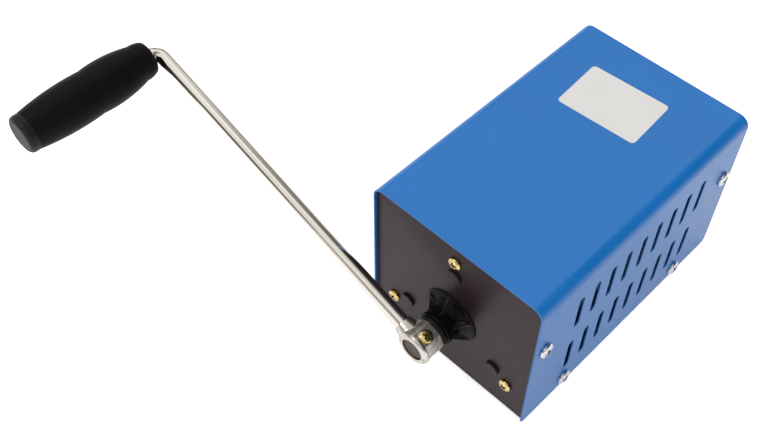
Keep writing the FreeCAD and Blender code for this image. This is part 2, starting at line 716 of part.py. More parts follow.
def make_bearing_hub():
    """Black ribbed hub that carries the crank shaft; its spigot is clamped in the wall."""
    bore = D.shaft_radius + D.bush_wall + D.fixed_clearance
    cone_start = D.hub_length - D.hub_cone_height
    rim = D.hub_length - D.hub_foot_height
    tail = D.hub_length + D.chassis_sheet + D.hub_spigot_length
    body = turned_body("bearing_hub", [
        (bore, 0),
        (D.hub_lip_radius, 0),
        (D.hub_lip_radius, D.hub_lip_height),
        (D.hub_neck_radius, D.hub_lip_height + D.hub_step),
        (D.hub_neck_radius, cone_start),
        (D.hub_foot_radius, rim),
        (D.hub_foot_radius, D.hub_length),
        (D.hub_spigot_radius, D.hub_length),
        (D.hub_spigot_radius, tail),
        (bore, tail),
    ], hollows={4: D.hub_foot_radius})
    rib = new_sketch(body, "XY_Plane")
    root = D.hub_neck_radius - D.hub_step
    rib_start = D.hub_lip_height + D.hub_step * 2
    rib_end = D.hub_foot_radius - D.hub_step / 2
    add_outline(rib, [
        (root, rib_start),
        (D.hub_neck_radius + D.hub_step / 2, rib_start),
        (D.hub_neck_radius + D.hub_rib_rise, cone_start),
        (rib_end, rim - D.hub_step),
        (rib_end, rim + D.hub_foot_height / 2),
        (root, rim + D.hub_foot_height / 2),
    ], hollows={2: D.hub_foot_radius})
    rib_pad = pad(body, rib, D.hub_rib_width, middle=True)
    around(body, rib_pad, D.hub_ribs, "Y_Axis")
    place(body, 0, hub_front, D.shaft_height, Rotation(Vector(0, 1, 0), 30))


def make_hub_nut():
    """Thin hexagon nut that clamps the hub to the wall from inside."""
    body = new_body("hub_nut")
    sketch = new_sketch(body, "XZ_Plane")
    add_outline(sketch, hexagon(0, 0, D.hub_nut_across))
    add_circle(sketch, 0, 0, D.hub_spigot_radius + D.fixed_clearance)
    pad(body, sketch, D.hub_nut_height, backwards=True)
    place(body, 0, wall_back, D.shaft_height)


def make_bushes():
    """Two bronze bushes pressed into the hub's ends."""
    length = D.bush_length.number
    bush = rod_solid((D.shaft_radius + D.bush_wall).number, length)
    bush = bush.cut(rod_solid((D.shaft_radius + D.running_clearance).number, length))
    starts = (hub_front, spigot_end - D.bush_length)
    height = D.shaft_height.number
    group("shaft_bushes", [set_at(bush, 0, start.number, height) for start in starts])


# Crank

thrust_thickness = D.washer_thickness
input_gear_front = spigot_end + D.end_play + thrust_thickness
input_gear_back = input_gear_front + D.gear_width
circlip_thickness = D.washer_thickness
shaft_tail = input_gear_back + circlip_thickness * 2
shaft_front = boss_front + D.shaft_end_recess
key_width = D.shaft_radius / 2
key_depth = D.shaft_radius / 4
crank_turn = Rotation(Vector(0, 1, 0), 180 + D.arm_angle.number)
arm_x, arm_z = on_circle(D.arm_length, 180 - D.arm_angle.number)
grip_x, grip_z = arm_x, D.shaft_height + arm_z


def make_crank_shaft():
    """Steel shaft with a bevelled end, a keyway for the gear and a circlip groove."""
    length = shaft_tail - shaft_front
    groove = input_gear_back - shaft_front
    neck = D.shaft_radius - circlip_thickness / 2
    bevel = D.shaft_end_recess
    body = turned_body("crank_shaft", [
        (0, 0),
        (D.shaft_radius - bevel, 0),
        (D.shaft_radius, bevel),
        (D.shaft_radius, groove),
        (neck, groove),
        (neck, groove + circlip_thickness),
        (D.shaft_radius, groove + circlip_thickness),
        (D.shaft_radius, length),
        (0, length),
    ])
    keyway = new_sketch(body, "XY_Plane", at=D.shaft_radius - key_depth)
    key_front = input_gear_front - shaft_front
    add_outline(keyway, rectangle(-key_width / 2, key_width / 2, key_front, groove))
    cut(body, keyway, D.shaft_radius, backwards=True)
    place(body, 0, shaft_front, D.shaft_height)


def make_seal_ring():
    """Black ring on the shaft between boss and hub."""
    seal = ring("seal_ring", D.shaft_radius + D.fixed_clearance, D.seal_radius, D.seal_length)
    place(seal, 0, boss_back, D.shaft_height)


def make_crank_boss():
    """Cast boss: round the shaft, with a collar for the rod and a flat for its clamp screw."""
    bore = D.shaft_radius + D.fixed_clearance
    body = turned_body("crank_boss", rectangle(bore, D.boss_radius, 0, D.boss_length))
    radius = D.boss_radius.number
    soften(body, D.boss_round, lambda edge: is_rim(edge, radius, 0))
    root = new_sketch(body, "YZ_Plane", at=D.shaft_radius + D.boss_round / 2)
    add_circle(root, D.arm_setback, 0, D.boss_socket_root)
    collar = new_sketch(body, "YZ_Plane", at=D.boss_socket_reach)
    add_circle(collar, D.arm_setback, 0, D.boss_socket_radius)
    neck = body.newObject("PartDesign::AdditiveLoft", "crank_boss_neck")
    neck.Profile = root
    neck.Sections = [collar]
    rod_hole = new_sketch(body, "YZ_Plane", at=D.boss_socket_reach)
    add_circle(rod_hole, D.arm_setback, 0, D.rod_radius + D.fixed_clearance)
    cut(body, rod_hole, D.boss_socket_reach)
    step = D.boss_facet_step.number
    for degrees, distance in ((0, D.boss_flat), (-step, D.boss_facet), (-2 * step, D.boss_facet)):
        flat = new_sketch(body, "XZ_Plane", at=D.boss_rim)
        outline = rectangle(-D.boss_radius, D.boss_radius, -D.boss_radius * 2, -distance)
        add_outline(flat, turned_corners(outline, degrees))
        cut(body, flat, D.boss_length)
    screw_hole = new_sketch(body, "XY_Plane")
    add_circle(screw_hole, 0, D.boss_length / 2, D.clamp_screw_radius + D.fixed_clearance)
    cut(body, screw_hole)
    place(body, 0, boss_front, D.shaft_height, crank_turn)


def make_clamp_screw():
    """Brass screw that clamps the boss on the shaft; it presses on the shaft's side."""
    length = D.boss_flat.number - D.shaft_radius.number - D.fixed_clearance.number
    screw = pan_screw(D.clamp_screw_radius.number, D.clamp_screw_head.number,
                      D.clamp_screw_head_height.number, length)
    middle = Vector(0, D.boss_length.number / 2, -D.boss_flat.number)
    local = Placement(middle, Rotation(Vector(0, 1, 0), Vector(0, 0, 1)))
    boss = Placement(Vector(0, boss_front.number, D.shaft_height.number), crank_turn)
    fixed_feature("clamp_screw", screw, boss.multiply(local))


def make_crank_rod():
    """Chromed rod: the arm, one bend, and the pin on which the grip turns."""
    body = new_body("crank_rod")
    inner_end = D.shaft_radius + D.rod_gap
    pin_end = D.grip_start + D.grip_length - D.pin_end_depth
    path = new_sketch(body, "XY_Plane")
    corner_x = D.arm_length - D.arm_bend
    bend_centre = Vector(corner_x.number, -D.arm_bend.number, 0)
    bend = Part.Circle(bend_centre, Vector(0, 0, 1), D.arm_bend.number)
    path.addGeometry(Part.LineSegment(Vector(inner_end.number, 0, 0), Vector(corner_x.number, 0, 0)))
    path.addGeometry(Part.ArcOfCircle(bend, 0, math.pi / 2))
    path.addGeometry(Part.LineSegment(Vector(D.arm_length.number, -D.arm_bend.number, 0),
                                      Vector(D.arm_length.number, -pin_end.number, 0)))
    path.addConstraint(Sketcher.Constraint("Tangent", 0, 2, 1, 2))
    path.addConstraint(Sketcher.Constraint("Tangent", 1, 1, 2, 1))
    pin_down(path, 0, 1, inner_end, 0)
    path.addConstraint(Sketcher.Constraint("Horizontal", 0))
    set_radius(path, 1, D.arm_bend)
    pin_down(path, 2, 2, D.arm_length, -pin_end)
    path.addConstraint(Sketcher.Constraint("Vertical", 2))
    section = new_sketch(body, "YZ_Plane", at=inner_end)
    add_circle(section, 0, 0, D.rod_radius)
    sweep = body.newObject("PartDesign::AdditivePipe", "crank_rod_sweep")
    sweep.Profile = section
    sweep.Spine = (path, [])
    place(body, 0, arm_y, D.shaft_height, crank_turn)


# Grip

def make_grip():
    """Black moulded grip, hollow for the rod's pin, with a pocket for its retaining washer."""
    start = D.grip_cap_length
    length = D.grip_length
    bore = D.rod_radius + D.running_clearance * 2
    belly = length - D.grip_belly
    shoulder = length - D.grip_shoulder
    body = turned_body("grip", [
        (D.grip_pocket_radius, start),
        (D.grip_outer_radius, start),
        (D.grip_belly_radius, belly),
        (D.grip_shoulder_radius, shoulder),
        (D.grip_inner_radius, length),
        (bore, length),
        (bore, D.grip_pocket_depth),
        (D.grip_pocket_radius, D.grip_pocket_depth),
    ], arcs={1: D.grip_length * 2, 2: D.grip_length, 3: D.grip_shoulder * 2})
    radius, end = D.grip_inner_radius.number, length.number
    soften(body, D.grip_shoulder / 5, lambda edge: is_rim(edge, radius, end))
    place(body, grip_x, arm_y - D.grip_start - D.grip_length, grip_z)


def make_grip_cap():
    """Domed cap pushed into the grip's outer end."""
    plug = D.grip_pocket_radius - D.fixed_clearance
    body = turned_body("grip_cap", [
        (0, 0),
        (D.grip_outer_radius - D.grip_cap_length / 2, 0),
        (D.grip_outer_radius, D.grip_cap_length / 2),
        (D.grip_outer_radius, D.grip_cap_length),
        (plug, D.grip_cap_length),
        (plug, D.grip_cap_length * 1.6),
        (0, D.grip_cap_length * 1.6),
    ], arcs={1: D.grip_cap_length / 2})
    place(body, grip_x, arm_y - D.grip_start - D.grip_length, grip_z)


def make_grip_washer():
    """Push-on washer on the rod's end that keeps the grip on its pin."""
    washer = ring("grip_washer", D.rod_radius + D.fixed_clearance,
                  D.grip_pocket_radius - D.end_play * 2, D.washer_thickness)
    pocket_floor = arm_y - D.grip_start - D.grip_length + D.grip_pocket_depth
    place(washer, grip_x, pocket_floor - D.end_play * 2 - D.washer_thickness, grip_z)


# Gear train

cluster_front = front_plate_back + D.end_play * 2
wheel_front = input_gear_back + circlip_thickness * 2 + D.end_play * 2
wheel_back = wheel_front + D.gear_width
cluster_back = gear_plate_front - D.end_play * 2


def involute(angle):
    """The involute function."""
    return math.tan(angle) - angle


def gear_face(teeth, first_tooth):
    """Outline of a spur gear as a face; the first tooth points at an angle in degrees."""
    module = D.gear_module.number
    pressure = math.radians(D.pressure_angle.number)
    pitch = module * teeth / 2
    base = pitch * math.cos(pressure)
    tip = pitch + 0.95 * module
    root = pitch - 1.25 * module
    half_tooth = math.pi / (2 * teeth) - D.backlash.number / (4 * pitch)

    def half_angle(radius):
        return half_tooth + involute(pressure) - involute(math.acos(min(1, base / radius)))

    flank = [max(base, root), pitch, (pitch + tip) / 2, tip]
    points = []
    for tooth in range(teeth):
        middle = math.radians(first_tooth) + 2 * math.pi * tooth / teeth
        rising = [(root, -half_angle(flank[0]))]
        rising += [(radius, -half_angle(radius)) for radius in flank]
        for radius, offset in rising + [(r, -o) for r, o in reversed(rising)]:
            points.append(Vector(radius * math.cos(middle + offset), 0,
                                 radius * math.sin(middle + offset)))
    return Part.Face(Part.makePolygon(points + points[:1]))


def gear_solid(teeth, first_tooth, width, start=0):
    """A spur gear that starts at a distance along Y."""
    face = gear_face(teeth, first_tooth)
    face.translate(Vector(0, start, 0))
    return face.extrude(Vector(0, width, 0))


def lightening_holes(count, circle, radius, start, length, turn_by=0):
    """Round holes through a gear's web."""
    holes = []
    for step in range(count):
        x, z = on_circle(circle, turn_by + 360 * step / count)
        holes.append(Part.makeCylinder(radius, length, Vector(x, start, z), Vector(0, 1, 0)))
    return holes


def make_input_gear():
    """The large gear on the crank shaft."""
    teeth = int(D.input_teeth.number)
    width = D.gear_width.number
    bore = D.shaft_radius.number + D.fixed_clearance.number
    pitch = D.gear_module.number * teeth / 2
    web = (bore + pitch) / 2
    gear = gear_solid(teeth, BRANCH_ANGLES["top"], width)
    keyway = Part.makeBox(key_width.number, width, bore,
                          Vector(-key_width.number / 2, 0, key_depth.number))
    cuts = [rod_solid(bore, width * 2, -width / 2), keyway]
    holes = 6
    cuts += lightening_holes(holes, web, (pitch - bore) / 5, -width, width * 3, 180 / holes)
    feature = fixed_feature("input_gear", gear.cut(cuts))
    place(feature, 0, input_gear_front, D.shaft_height)


def make_shaft_retainers():
    """Key, thrust washer and circlip that hold the input gear on the shaft."""
    key = doc.addObject("Part::Box", "gear_key")
    key.Label = "gear_key"
    pieces.append(key)
    play = D.fixed_clearance
    key.setExpression("Length", (key_width - play * 2).formula)
    key.setExpression("Width", (D.gear_width - play * 2).formula)
    key.setExpression("Height", (key_depth * 2 - play).formula)
    place(key, -key_width / 2 + play, input_gear_front + play,
          D.shaft_height + D.shaft_radius - key_depth)
    washer = ring("thrust_washer", D.shaft_radius + D.fixed_clearance,
                  D.shaft_radius + D.bush_wall * 1.6, thrust_thickness)
    place(washer, 0, input_gear_front - thrust_thickness, D.shaft_height)
    neck = D.shaft_radius - circlip_thickness / 2 + play
    circlip = new_body("shaft_circlip")
    sketch = new_sketch(circlip, "XZ_Plane")
    add_circle(sketch, 0, 0, D.shaft_radius + D.bush_wall)
    add_circle(sketch, 0, 0, neck)
    pad(circlip, sketch, circlip_thickness - play * 2, backwards=True)
    opening = new_sketch(circlip, "XZ_Plane")
    add_outline(opening, rectangle(-key_width / 2, key_width / 2, 0, D.shaft_radius * 2))
    cut(circlip, opening)
    place(circlip, 0, input_gear_back + play, D.shaft_height)


def make_cluster_gears():
    """Three cluster gears, a pinion and a wheel in one piece, each on its own pin."""
    start = cluster_front.number
    pinion_start = input_gear_front.number - D.end_play.number - start
    wheel_start = wheel_front.number - start
    wheel_end = wheel_back.number - start
    length = cluster_back.number - start
    pinion_teeth, wheel_teeth = int(D.pinion_teeth.number), int(D.cluster_teeth.number)
    root = D.gear_module.number * (pinion_teeth / 2 - 1.25)
    web = D.gear_module.number * wheel_teeth / 4 + root / 2
    for branch, angle in BRANCH_ANGLES.items():
        to_shaft = angle + 180
        pinion = gear_solid(pinion_teeth, to_shaft + 180 / pinion_teeth,
                            wheel_start - pinion_start, pinion_start)
        wheel = gear_solid(wheel_teeth, to_shaft, wheel_end - wheel_start, wheel_start)
        hub = rod_solid(root, length)
        blank = hub.fuse([pinion, wheel])
        cuts = [rod_solid(D.pin_radius.number + D.running_clearance.number, length * 2, -length / 2)]
        cuts += lightening_holes(5, web, root / 2, wheel_start - 0.1, length, angle)
        feature = fixed_feature(f"cluster_gear_{branch}", blank.cut(cuts).removeSplitter())
        x, z = on_circle(pin_circle, angle)
        place(feature, x, cluster_front, D.shaft_height + z)


def make_gear_pins():
    """Three steel pins with a flat head on the front wall; the cluster gears turn on them."""
    shank = D.chassis_sheet + D.gearbox_depth + D.gear_plate_sheet
    bevel = D.pin_head_height / 4
    for branch, angle in BRANCH_ANGLES.items():
        pin = turned_body(f"gear_pin_{branch}", [
            (0, 0),
            (D.pin_head_radius - bevel, 0),
            (D.pin_head_radius, bevel),
            (D.pin_head_radius, D.pin_head_height),
            (D.pin_radius, D.pin_head_height),
            (D.pin_radius, D.pin_head_height + shank),
            (0, D.pin_head_height + shank),
        ])
        x, z = on_circle(pin_circle, angle)
        place(pin, x, wall_front - D.pin_head_height, D.shaft_height + z)


def gear_plate_outline():
    """Outline shared by both gear plates, with its corners cut off."""
    half, corner = D.gear_plate_width / 2, D.gear_plate_corner
    low, high = D.gear_plate_low - D.shaft_height, D.gear_plate_high - D.shaft_height
    return [
        (-half + corner, low),
        (half - corner, low),
        (half, low + corner),
        (half, high - corner),
        (half - corner, high),
        (-half + corner, high),
        (-half, high - corner),
        (-half, low + corner),
    ]


def add_pin_and_pillar_holes(sketch):
    """Holes that both gear plates have."""
    for angle in BRANCH_ANGLES.values():
        add_circle(sketch, *on_circle(pin_circle, angle), D.pin_radius + D.fixed_clearance)
    for angle in PILLAR_ANGLES:
        add_circle(sketch, *on_circle(D.pillar_circle, angle),
                   D.gear_screw_radius + D.fixed_clearance)


def make_front_gear_plate():
    """Aluminium plate that the three brass screws pull against the front wall."""
    body = new_body("front_gear_plate")
    plate = new_sketch(body, "XZ_Plane")
    add_outline(plate, gear_plate_outline())
    pad(body, plate, D.gear_plate_sheet, backwards=True)
    holes = new_sketch(body, "XZ_Plane")
    add_pin_and_pillar_holes(holes)
    add_circle(holes, 0, 0, D.front_plate_eye)
    for angle in BRANCH_ANGLES.values():
        add_circle(holes, *on_circle(D.brass_screw_circle, angle),
                   D.gear_screw_radius + D.fixed_clearance)
    cut(body, holes)
    place(body, 0, wall_back, D.shaft_height)


def make_rear_gear_plate():
    """Aluminium plate that closes the gearbox and carries the rotor's front bearing."""
    body = new_body("rear_gear_plate")
    plate = new_sketch(body, "XZ_Plane")
    add_outline(plate, gear_plate_outline())
    pad(body, plate, D.gear_plate_sheet, backwards=True)
    seat = new_sketch(body, "XZ_Plane")
    add_circle(seat, 0, 0, D.bearing_radius + D.bearing_seat_wall)
    lip = D.gear_plate_sheet / 3
    pad(body, seat, lip + D.bearing_width, backwards=True)
    eye = new_sketch(body, "XZ_Plane")
    add_circle(eye, 0, 0, D.bearing_radius - lip * 2)
    cut(body, eye)
    pocket = new_sketch(body, "XZ_Plane", at=lip)
    add_circle(pocket, 0, 0, D.bearing_radius + D.fixed_clearance)
    cut(body, pocket)
    holes = new_sketch(body, "XZ_Plane")
    add_pin_and_pillar_holes(holes)
    for angle in TIE_BOLT_ANGLES:
        add_circle(holes, *on_circle(D.tie_bolt_circle, angle),
                   D.tie_bolt_radius + D.fixed_clearance)
    cut(body, holes)
    place(body, 0, gear_plate_front, D.shaft_height)


def make_gearbox_fasteners():
    """Three hexagonal pillars with a stud, brass screws in front, steel screws at the rear."""
    radius = D.gear_screw_radius.number
    sheet_thickness = D.gear_plate_sheet.number
    length = D.gearbox_depth.number - sheet_thickness
    depth = D.gear_screw_length.number
    bore = radius + D.fixed_clearance.number
    socket = nut_solid(D.pillar_across.number, bore, depth + 1)
    stem_length = length - depth - 1
    stem = nut_solid(D.pillar_across.number, bore, stem_length)
    stem = stem.fuse(rod_solid(radius, sheet_thickness, -sheet_thickness))
    stem = stem.fuse(rod_solid(bore, stem_length))
    socket.translate(Vector(0, stem_length, 0))
    pillar = stem.fuse(socket).removeSplitter()
    brass_screw = pan_screw(radius, D.gear_screw_head.number, D.gear_screw_head_height.number,
                            D.brass_screw_length.number)
    rear_screw = pan_screw(radius, D.gear_screw_head.number, D.gear_screw_head_height.number,
                           depth)
    pillars, brass_screws, rear_screws = [], [], []
    for angle in PILLAR_ANGLES:
        x, z = on_circle(D.pillar_circle.number, angle)
        z += D.shaft_height.number
        pillars.append(set_at(pillar, x, front_plate_back.number, z))
        rear_screws.append(set_at(rear_screw, x, gear_plate_back.number, z, FACING_REAR))
    for angle in BRANCH_ANGLES.values():
        x, z = on_circle(D.brass_screw_circle.number, angle)
        brass_screws.append(set_at(brass_screw, x, wall_front.number, z + D.shaft_height.number))
    group("gearbox_pillars", pillars)
    group("brass_screws", brass_screws)
    group("gear_plate_screws", rear_screws)


# Generator

bearing_front = gear_plate_front + D.gear_plate_sheet / 3
rear_bearing_front = housing_back - D.bearing_width + D.bell_thickness / 2
stack_front = gear_plate_back + (D.housing_length - D.stator_length) / 2
stator_outside = D.housing_radius - D.housing_wall - D.fixed_clearance
magnet_outside = D.stator_bore - D.air_gap
core_radius = magnet_outside - D.magnet_thickness


def make_generator_housing():
    """Aluminium tube clamped between gear plate and end bell."""
    tube = ring("generator_housing", D.housing_radius - D.housing_wall,
                D.housing_radius, D.housing_length)
    place(tube, 0, gear_plate_back, D.shaft_height)


def make_stator_core():
    """Laminated ring with twelve teeth that point at the rotor."""
    body = new_body("stator_core")
    yoke = new_sketch(body, "XZ_Plane")
    add_circle(yoke, 0, 0, stator_outside)
    add_circle(yoke, 0, 0, stator_outside - D.stator_yoke)
    pad(body, yoke, D.stator_length, backwards=True)
    tooth = new_sketch(body, "XZ_Plane")
    root = stator_outside - D.stator_yoke / 2
    shoe = D.stator_bore + D.stator_shoe
    half = D.stator_tooth_width / 2
    wide = D.stator_tooth_width * 0.9
    start = D.stator_bore - D.stator_shoe / 2
    add_outline(tooth, [
        (start, -wide),
        (shoe, -wide),
        (shoe, -half),
        (root, -half),
        (root, half),
        (shoe, half),
        (shoe, wide),
        (start, wide),
    ])
    tooth_pad = pad(body, tooth, D.stator_length, backwards=True)
    around(body, tooth_pad, D.stator_teeth, "Y_Axis")
    doc.recompute()
    bore = new_sketch(body, "XZ_Plane")
    add_circle(bore, 0, 0, D.stator_bore)
    cut(body, bore)
    place(body, 0, stack_front, D.shaft_height)


def make_stator_winding():
    """Copper winding: a coil round each tooth, joined by a ring at the rear."""
    play = 0.1
    thickness = D.coil_thickness.number
    inner = D.stator_bore.number + D.stator_shoe.number + play
    half = D.stator_tooth_width.number / 2 + play
    yoke_inside = stator_outside.number - D.stator_yoke.number - play
    outer = math.sqrt(yoke_inside ** 2 - (half + thickness) ** 2)
    stack = D.stator_length.number
    count = int(D.stator_teeth.number)
    coil = Part.makeBox(outer - inner, stack + 2 * (play + thickness), 2 * (half + thickness),
                        Vector(inner, -play - thickness, -half - thickness))
    window = Part.makeBox(outer, stack + 2 * play, 2 * half, Vector(inner - 1, -play, -half))
    coil = coil.cut(window)
    coils = []
    for step in range(count):
        turned = coil.copy()
        turned.rotate(Vector(0, 0, 0), Vector(0, 1, 0), 360 * step / count)
        coils.append(turned)
    back = stack + play + thickness
    ring_outer, ring_inner = outer - 2, inner + 2
    joint = rod_solid(ring_outer, thickness, back - thickness / 2)
    joint = joint.cut(rod_solid(ring_inner, thickness * 2, back - thickness))
    winding = joint.fuse(coils).removeSplitter()
    feature = fixed_feature("stator_winding", winding)
    place(feature, 0, stack_front, D.shaft_height)


def make_rotor():
    """Rotor: shaft, iron core, ring magnet and the pinion that the cluster gears drive."""
    shaft_end = rear_bearing_front + D.bearing_width - D.end_play
    length = shaft_end - wheel_front
    bevel = D.bearing_bore / 8
    shaft = turned_body("rotor_shaft", [
        (0, 0),
        (D.bearing_bore - bevel, 0),
        (D.bearing_bore, bevel),
        (D.bearing_bore, length - bevel),
        (D.bearing_bore - bevel, length),
        (0, length),
    ])
    place(shaft, 0, wheel_front, D.shaft_height)
    core = ring("rotor_core", D.bearing_bore + D.fixed_clearance, core_radius, D.stator_length)
    place(core, 0, stack_front, D.shaft_height)
    magnet = ring("rotor_magnet", core_radius + D.fixed_clearance, magnet_outside, D.stator_length)
    place(magnet, 0, stack_front, D.shaft_height)
    teeth = int(D.rotor_teeth.number)
    width = D.gear_width.number
    bore = D.bearing_bore.number + D.fixed_clearance.number
    sleeve = bearing_front.number - wheel_front.number - D.end_play.number
    gear = gear_solid(teeth, BRANCH_ANGLES["top"] + 180 / teeth, width)
    gear = gear.fuse(rod_solid(bore + 2, sleeve))
    gear = gear.cut(rod_solid(bore, sleeve * 2, -sleeve / 2)).removeSplitter()
    feature = fixed_feature("rotor_pinion", gear)
    place(feature, 0, wheel_front, D.shaft_height)


def make_bearings():
    """Two sealed ball bearings for the rotor, each as its outer and inner ring in one."""
    width = D.bearing_width.number
    bearing = rod_solid(D.bearing_radius.number, width)
    bearing = bearing.cut(rod_solid((D.bearing_bore + D.running_clearance).number, width))
    starts = (bearing_front, rear_bearing_front)
    height = D.shaft_height.number
    group("rotor_bearings", [set_at(bearing, 0, start.number, height) for start in starts])


def make_end_bell():
    """Cast end bell with the rear bearing's seat and four ears for the tie bolts."""
    body = new_body("end_bell")
    plate = new_sketch(body, "XZ_Plane")
    add_circle(plate, 0, 0, D.housing_radius)
    pad(body, plate, D.bell_thickness, backwards=True)
    ear = new_sketch(body, "XZ_Plane")
    add_circle(ear, *on_circle(D.tie_bolt_circle, TIE_BOLT_ANGLES[0]), D.tie_ear)
    ear_pad = pad(body, ear, D.bell_thickness, backwards=True)
    around(body, ear_pad, len(TIE_BOLT_ANGLES), "Y_Axis")
    doc.recompute()
    depth = housing_back - rear_bearing_front
    seat = new_sketch(body, "XZ_Plane")
    add_circle(seat, 0, 0, D.bearing_radius + D.bearing_seat_wall)
    pad(body, seat, depth)
    pocket = new_sketch(body, "XZ_Plane", at=-depth)
    add_circle(pocket, 0, 0, D.bearing_radius + D.fixed_clearance)
    cut(body, pocket, D.bearing_width)
    holes = new_sketch(body, "XZ_Plane")
    for angle in TIE_BOLT_ANGLES:
        add_circle(holes, *on_circle(D.tie_bolt_circle, angle),
                   D.tie_bolt_radius + D.fixed_clearance)
    cut(body, holes)
    place(body, 0, housing_back, D.shaft_height)


def make_tie_bolts():
    """Four long screws that clamp bell, tube and gear plate together."""
    length = (D.bell_thickness + D.housing_length + D.gear_plate_sheet).number
    bolt = pan_screw(D.tie_bolt_radius.number, D.gear_screw_head.number,
                     D.gear_screw_head_height.number, length)
    bolts = []
    for angle in TIE_BOLT_ANGLES:
        x, z = on_circle(D.tie_bolt_circle.number, angle)
        y = (housing_back + D.bell_thickness).number
        bolts.append(set_at(bolt, x, y, z + D.shaft_height.number, FACING_REAR))
    group("tie_bolts", bolts)


# Electronics on the floor behind the generator

board_low = floor_top + D.board_lift
board_top = board_low + D.board_thickness
board_middle = rear_wall_inner - D.board_rear_gap - D.board_depth / 2
board_front = board_middle - D.board_depth / 2
sink_base = D.rectifier_height / 3
sink_front = rear_wall_inner - D.socket_depth - D.sink_gap - D.rectifier_height - sink_base
rectifier_front = sink_front - D.rectifier_height


def make_circuit_board():
    """Rectifier and regulator board."""
    body = new_body("circuit_board")
    sketch = new_sketch(body, "XY_Plane")
    half_x, half_y = D.board_width / 2, D.board_depth / 2
    add_outline(sketch, rectangle(-half_x, half_x, -half_y, half_y))
    across, along = half_x - D.board_screw_inset, half_y - D.board_screw_inset
    for x in (-across, across):
        for y in (-along, along):
            add_circle(sketch, x, y, D.case_screw_radius)
    pad(body, sketch, D.board_thickness)
    place(body, 0, board_middle, board_low)


def make_board_fasteners():
    """Four round pillars riveted to the floor, and the screws that hold the board on them."""
    radius = D.case_screw_radius.number * 0.75
    pillar = Part.makeCylinder(radius * 2, D.board_lift.number)
    pillar = pillar.cut(Part.makeCylinder(radius + D.fixed_clearance.number, D.board_lift.number))
    screw = pan_screw(radius, radius * 1.9, radius * 1.2, D.board_lift.number * 0.8)
    across = D.board_width.number / 2 - D.board_screw_inset.number
    along = D.board_depth.number / 2 - D.board_screw_inset.number
    pillars, screws = [], []
    for x in (-across, across):
        for step in (-along, along):
            y = board_middle.number + step
            pillars.append(set_at(pillar, x, y, floor_top.number))
            screws.append(set_at(screw, x, y, board_top.number, FACING_UP))
    group("board_pillars", pillars)
    group("board_screws", screws)


def make_capacitors():
    """Two upright smoothing capacitors with a beaded can."""
    upright = Rotation(Vector(0, 1, 0), Vector(0, 0, 1))
    radius, height = D.capacitor_radius.number, D.capacitor_height.number
    profile = [
        (0, 0),
        (radius, 0),
        (radius, height * 0.12),
        (radius * 0.92, height * 0.15),
        (radius, height * 0.18),
        (radius, height - 1),
        (radius - 1, height),
        (0, height),
    ]
    points = [Vector(x, y, 0) for x, y in profile]
    face = Part.Face(Part.makePolygon(points + points[:1]))
    can = face.revolve(Vector(0, 0, 0), Vector(0, 1, 0), 360)
    middle = board_front.number + radius * 1.5
    cans = []
    for x in (-radius * 1.3, radius * 1.3):
        cans.append(set_at(can, x, middle, board_top.number, upright))
    group("capacitors", cans)


def make_rectifier():
    """Rectifier block in front of the heat sink."""
    block = doc.addObject("Part::Box", "rectifier")
    block.Label = "rectifier"
    pieces.append(block)
    block.setExpression("Length", D.rectifier_width.formula)
    block.setExpression("Width", D.rectifier_height.formula)
    block.setExpression("Height", D.rectifier_width.formula)
    place(block, -D.rectifier_width / 2, rectifier_front, board_top)


def make_heat_sink():
    """Finned aluminium heat sink, screwed to the rectifier's back."""
    body = new_body("heat_sink")
    sketch = new_sketch(body, "XY_Plane")
    base, width = sink_base, D.sink_width
    fin = D.sink_width / (D.sink_fins * 2 - 1)
    depth = D.rectifier_height + base
    corners = [(0, 0), (width, 0)]
    for step in range(int(D.sink_fins.number)):
        right = width - fin * (2 * step)
        corners += [(right, depth), (right - fin, depth)]
        if step < int(D.sink_fins.number) - 1:
            corners += [(right - fin, base), (right - fin * 2, base)]
    add_outline(sketch, corners)
    pad(body, sketch, D.sink_height)
    place(body, -width / 2, sink_front, board_top)


def make_inductor():
    """Wound ring choke that lies on the board."""
    choke = doc.addObject("Part::Torus", "choke")
    choke.Label = "choke"
    pieces.append(choke)
    choke.setExpression("Radius1", (D.inductor_radius - D.inductor_section).formula)
    choke.setExpression("Radius2", D.inductor_section.formula)
    x = D.board_width / 2 - D.inductor_radius - D.board_screw_inset / 2
    place(choke, x, board_middle, board_top + D.inductor_section)


# Rear wall

rear_turn = Rotation(Vector(0, 0, 1), 180)


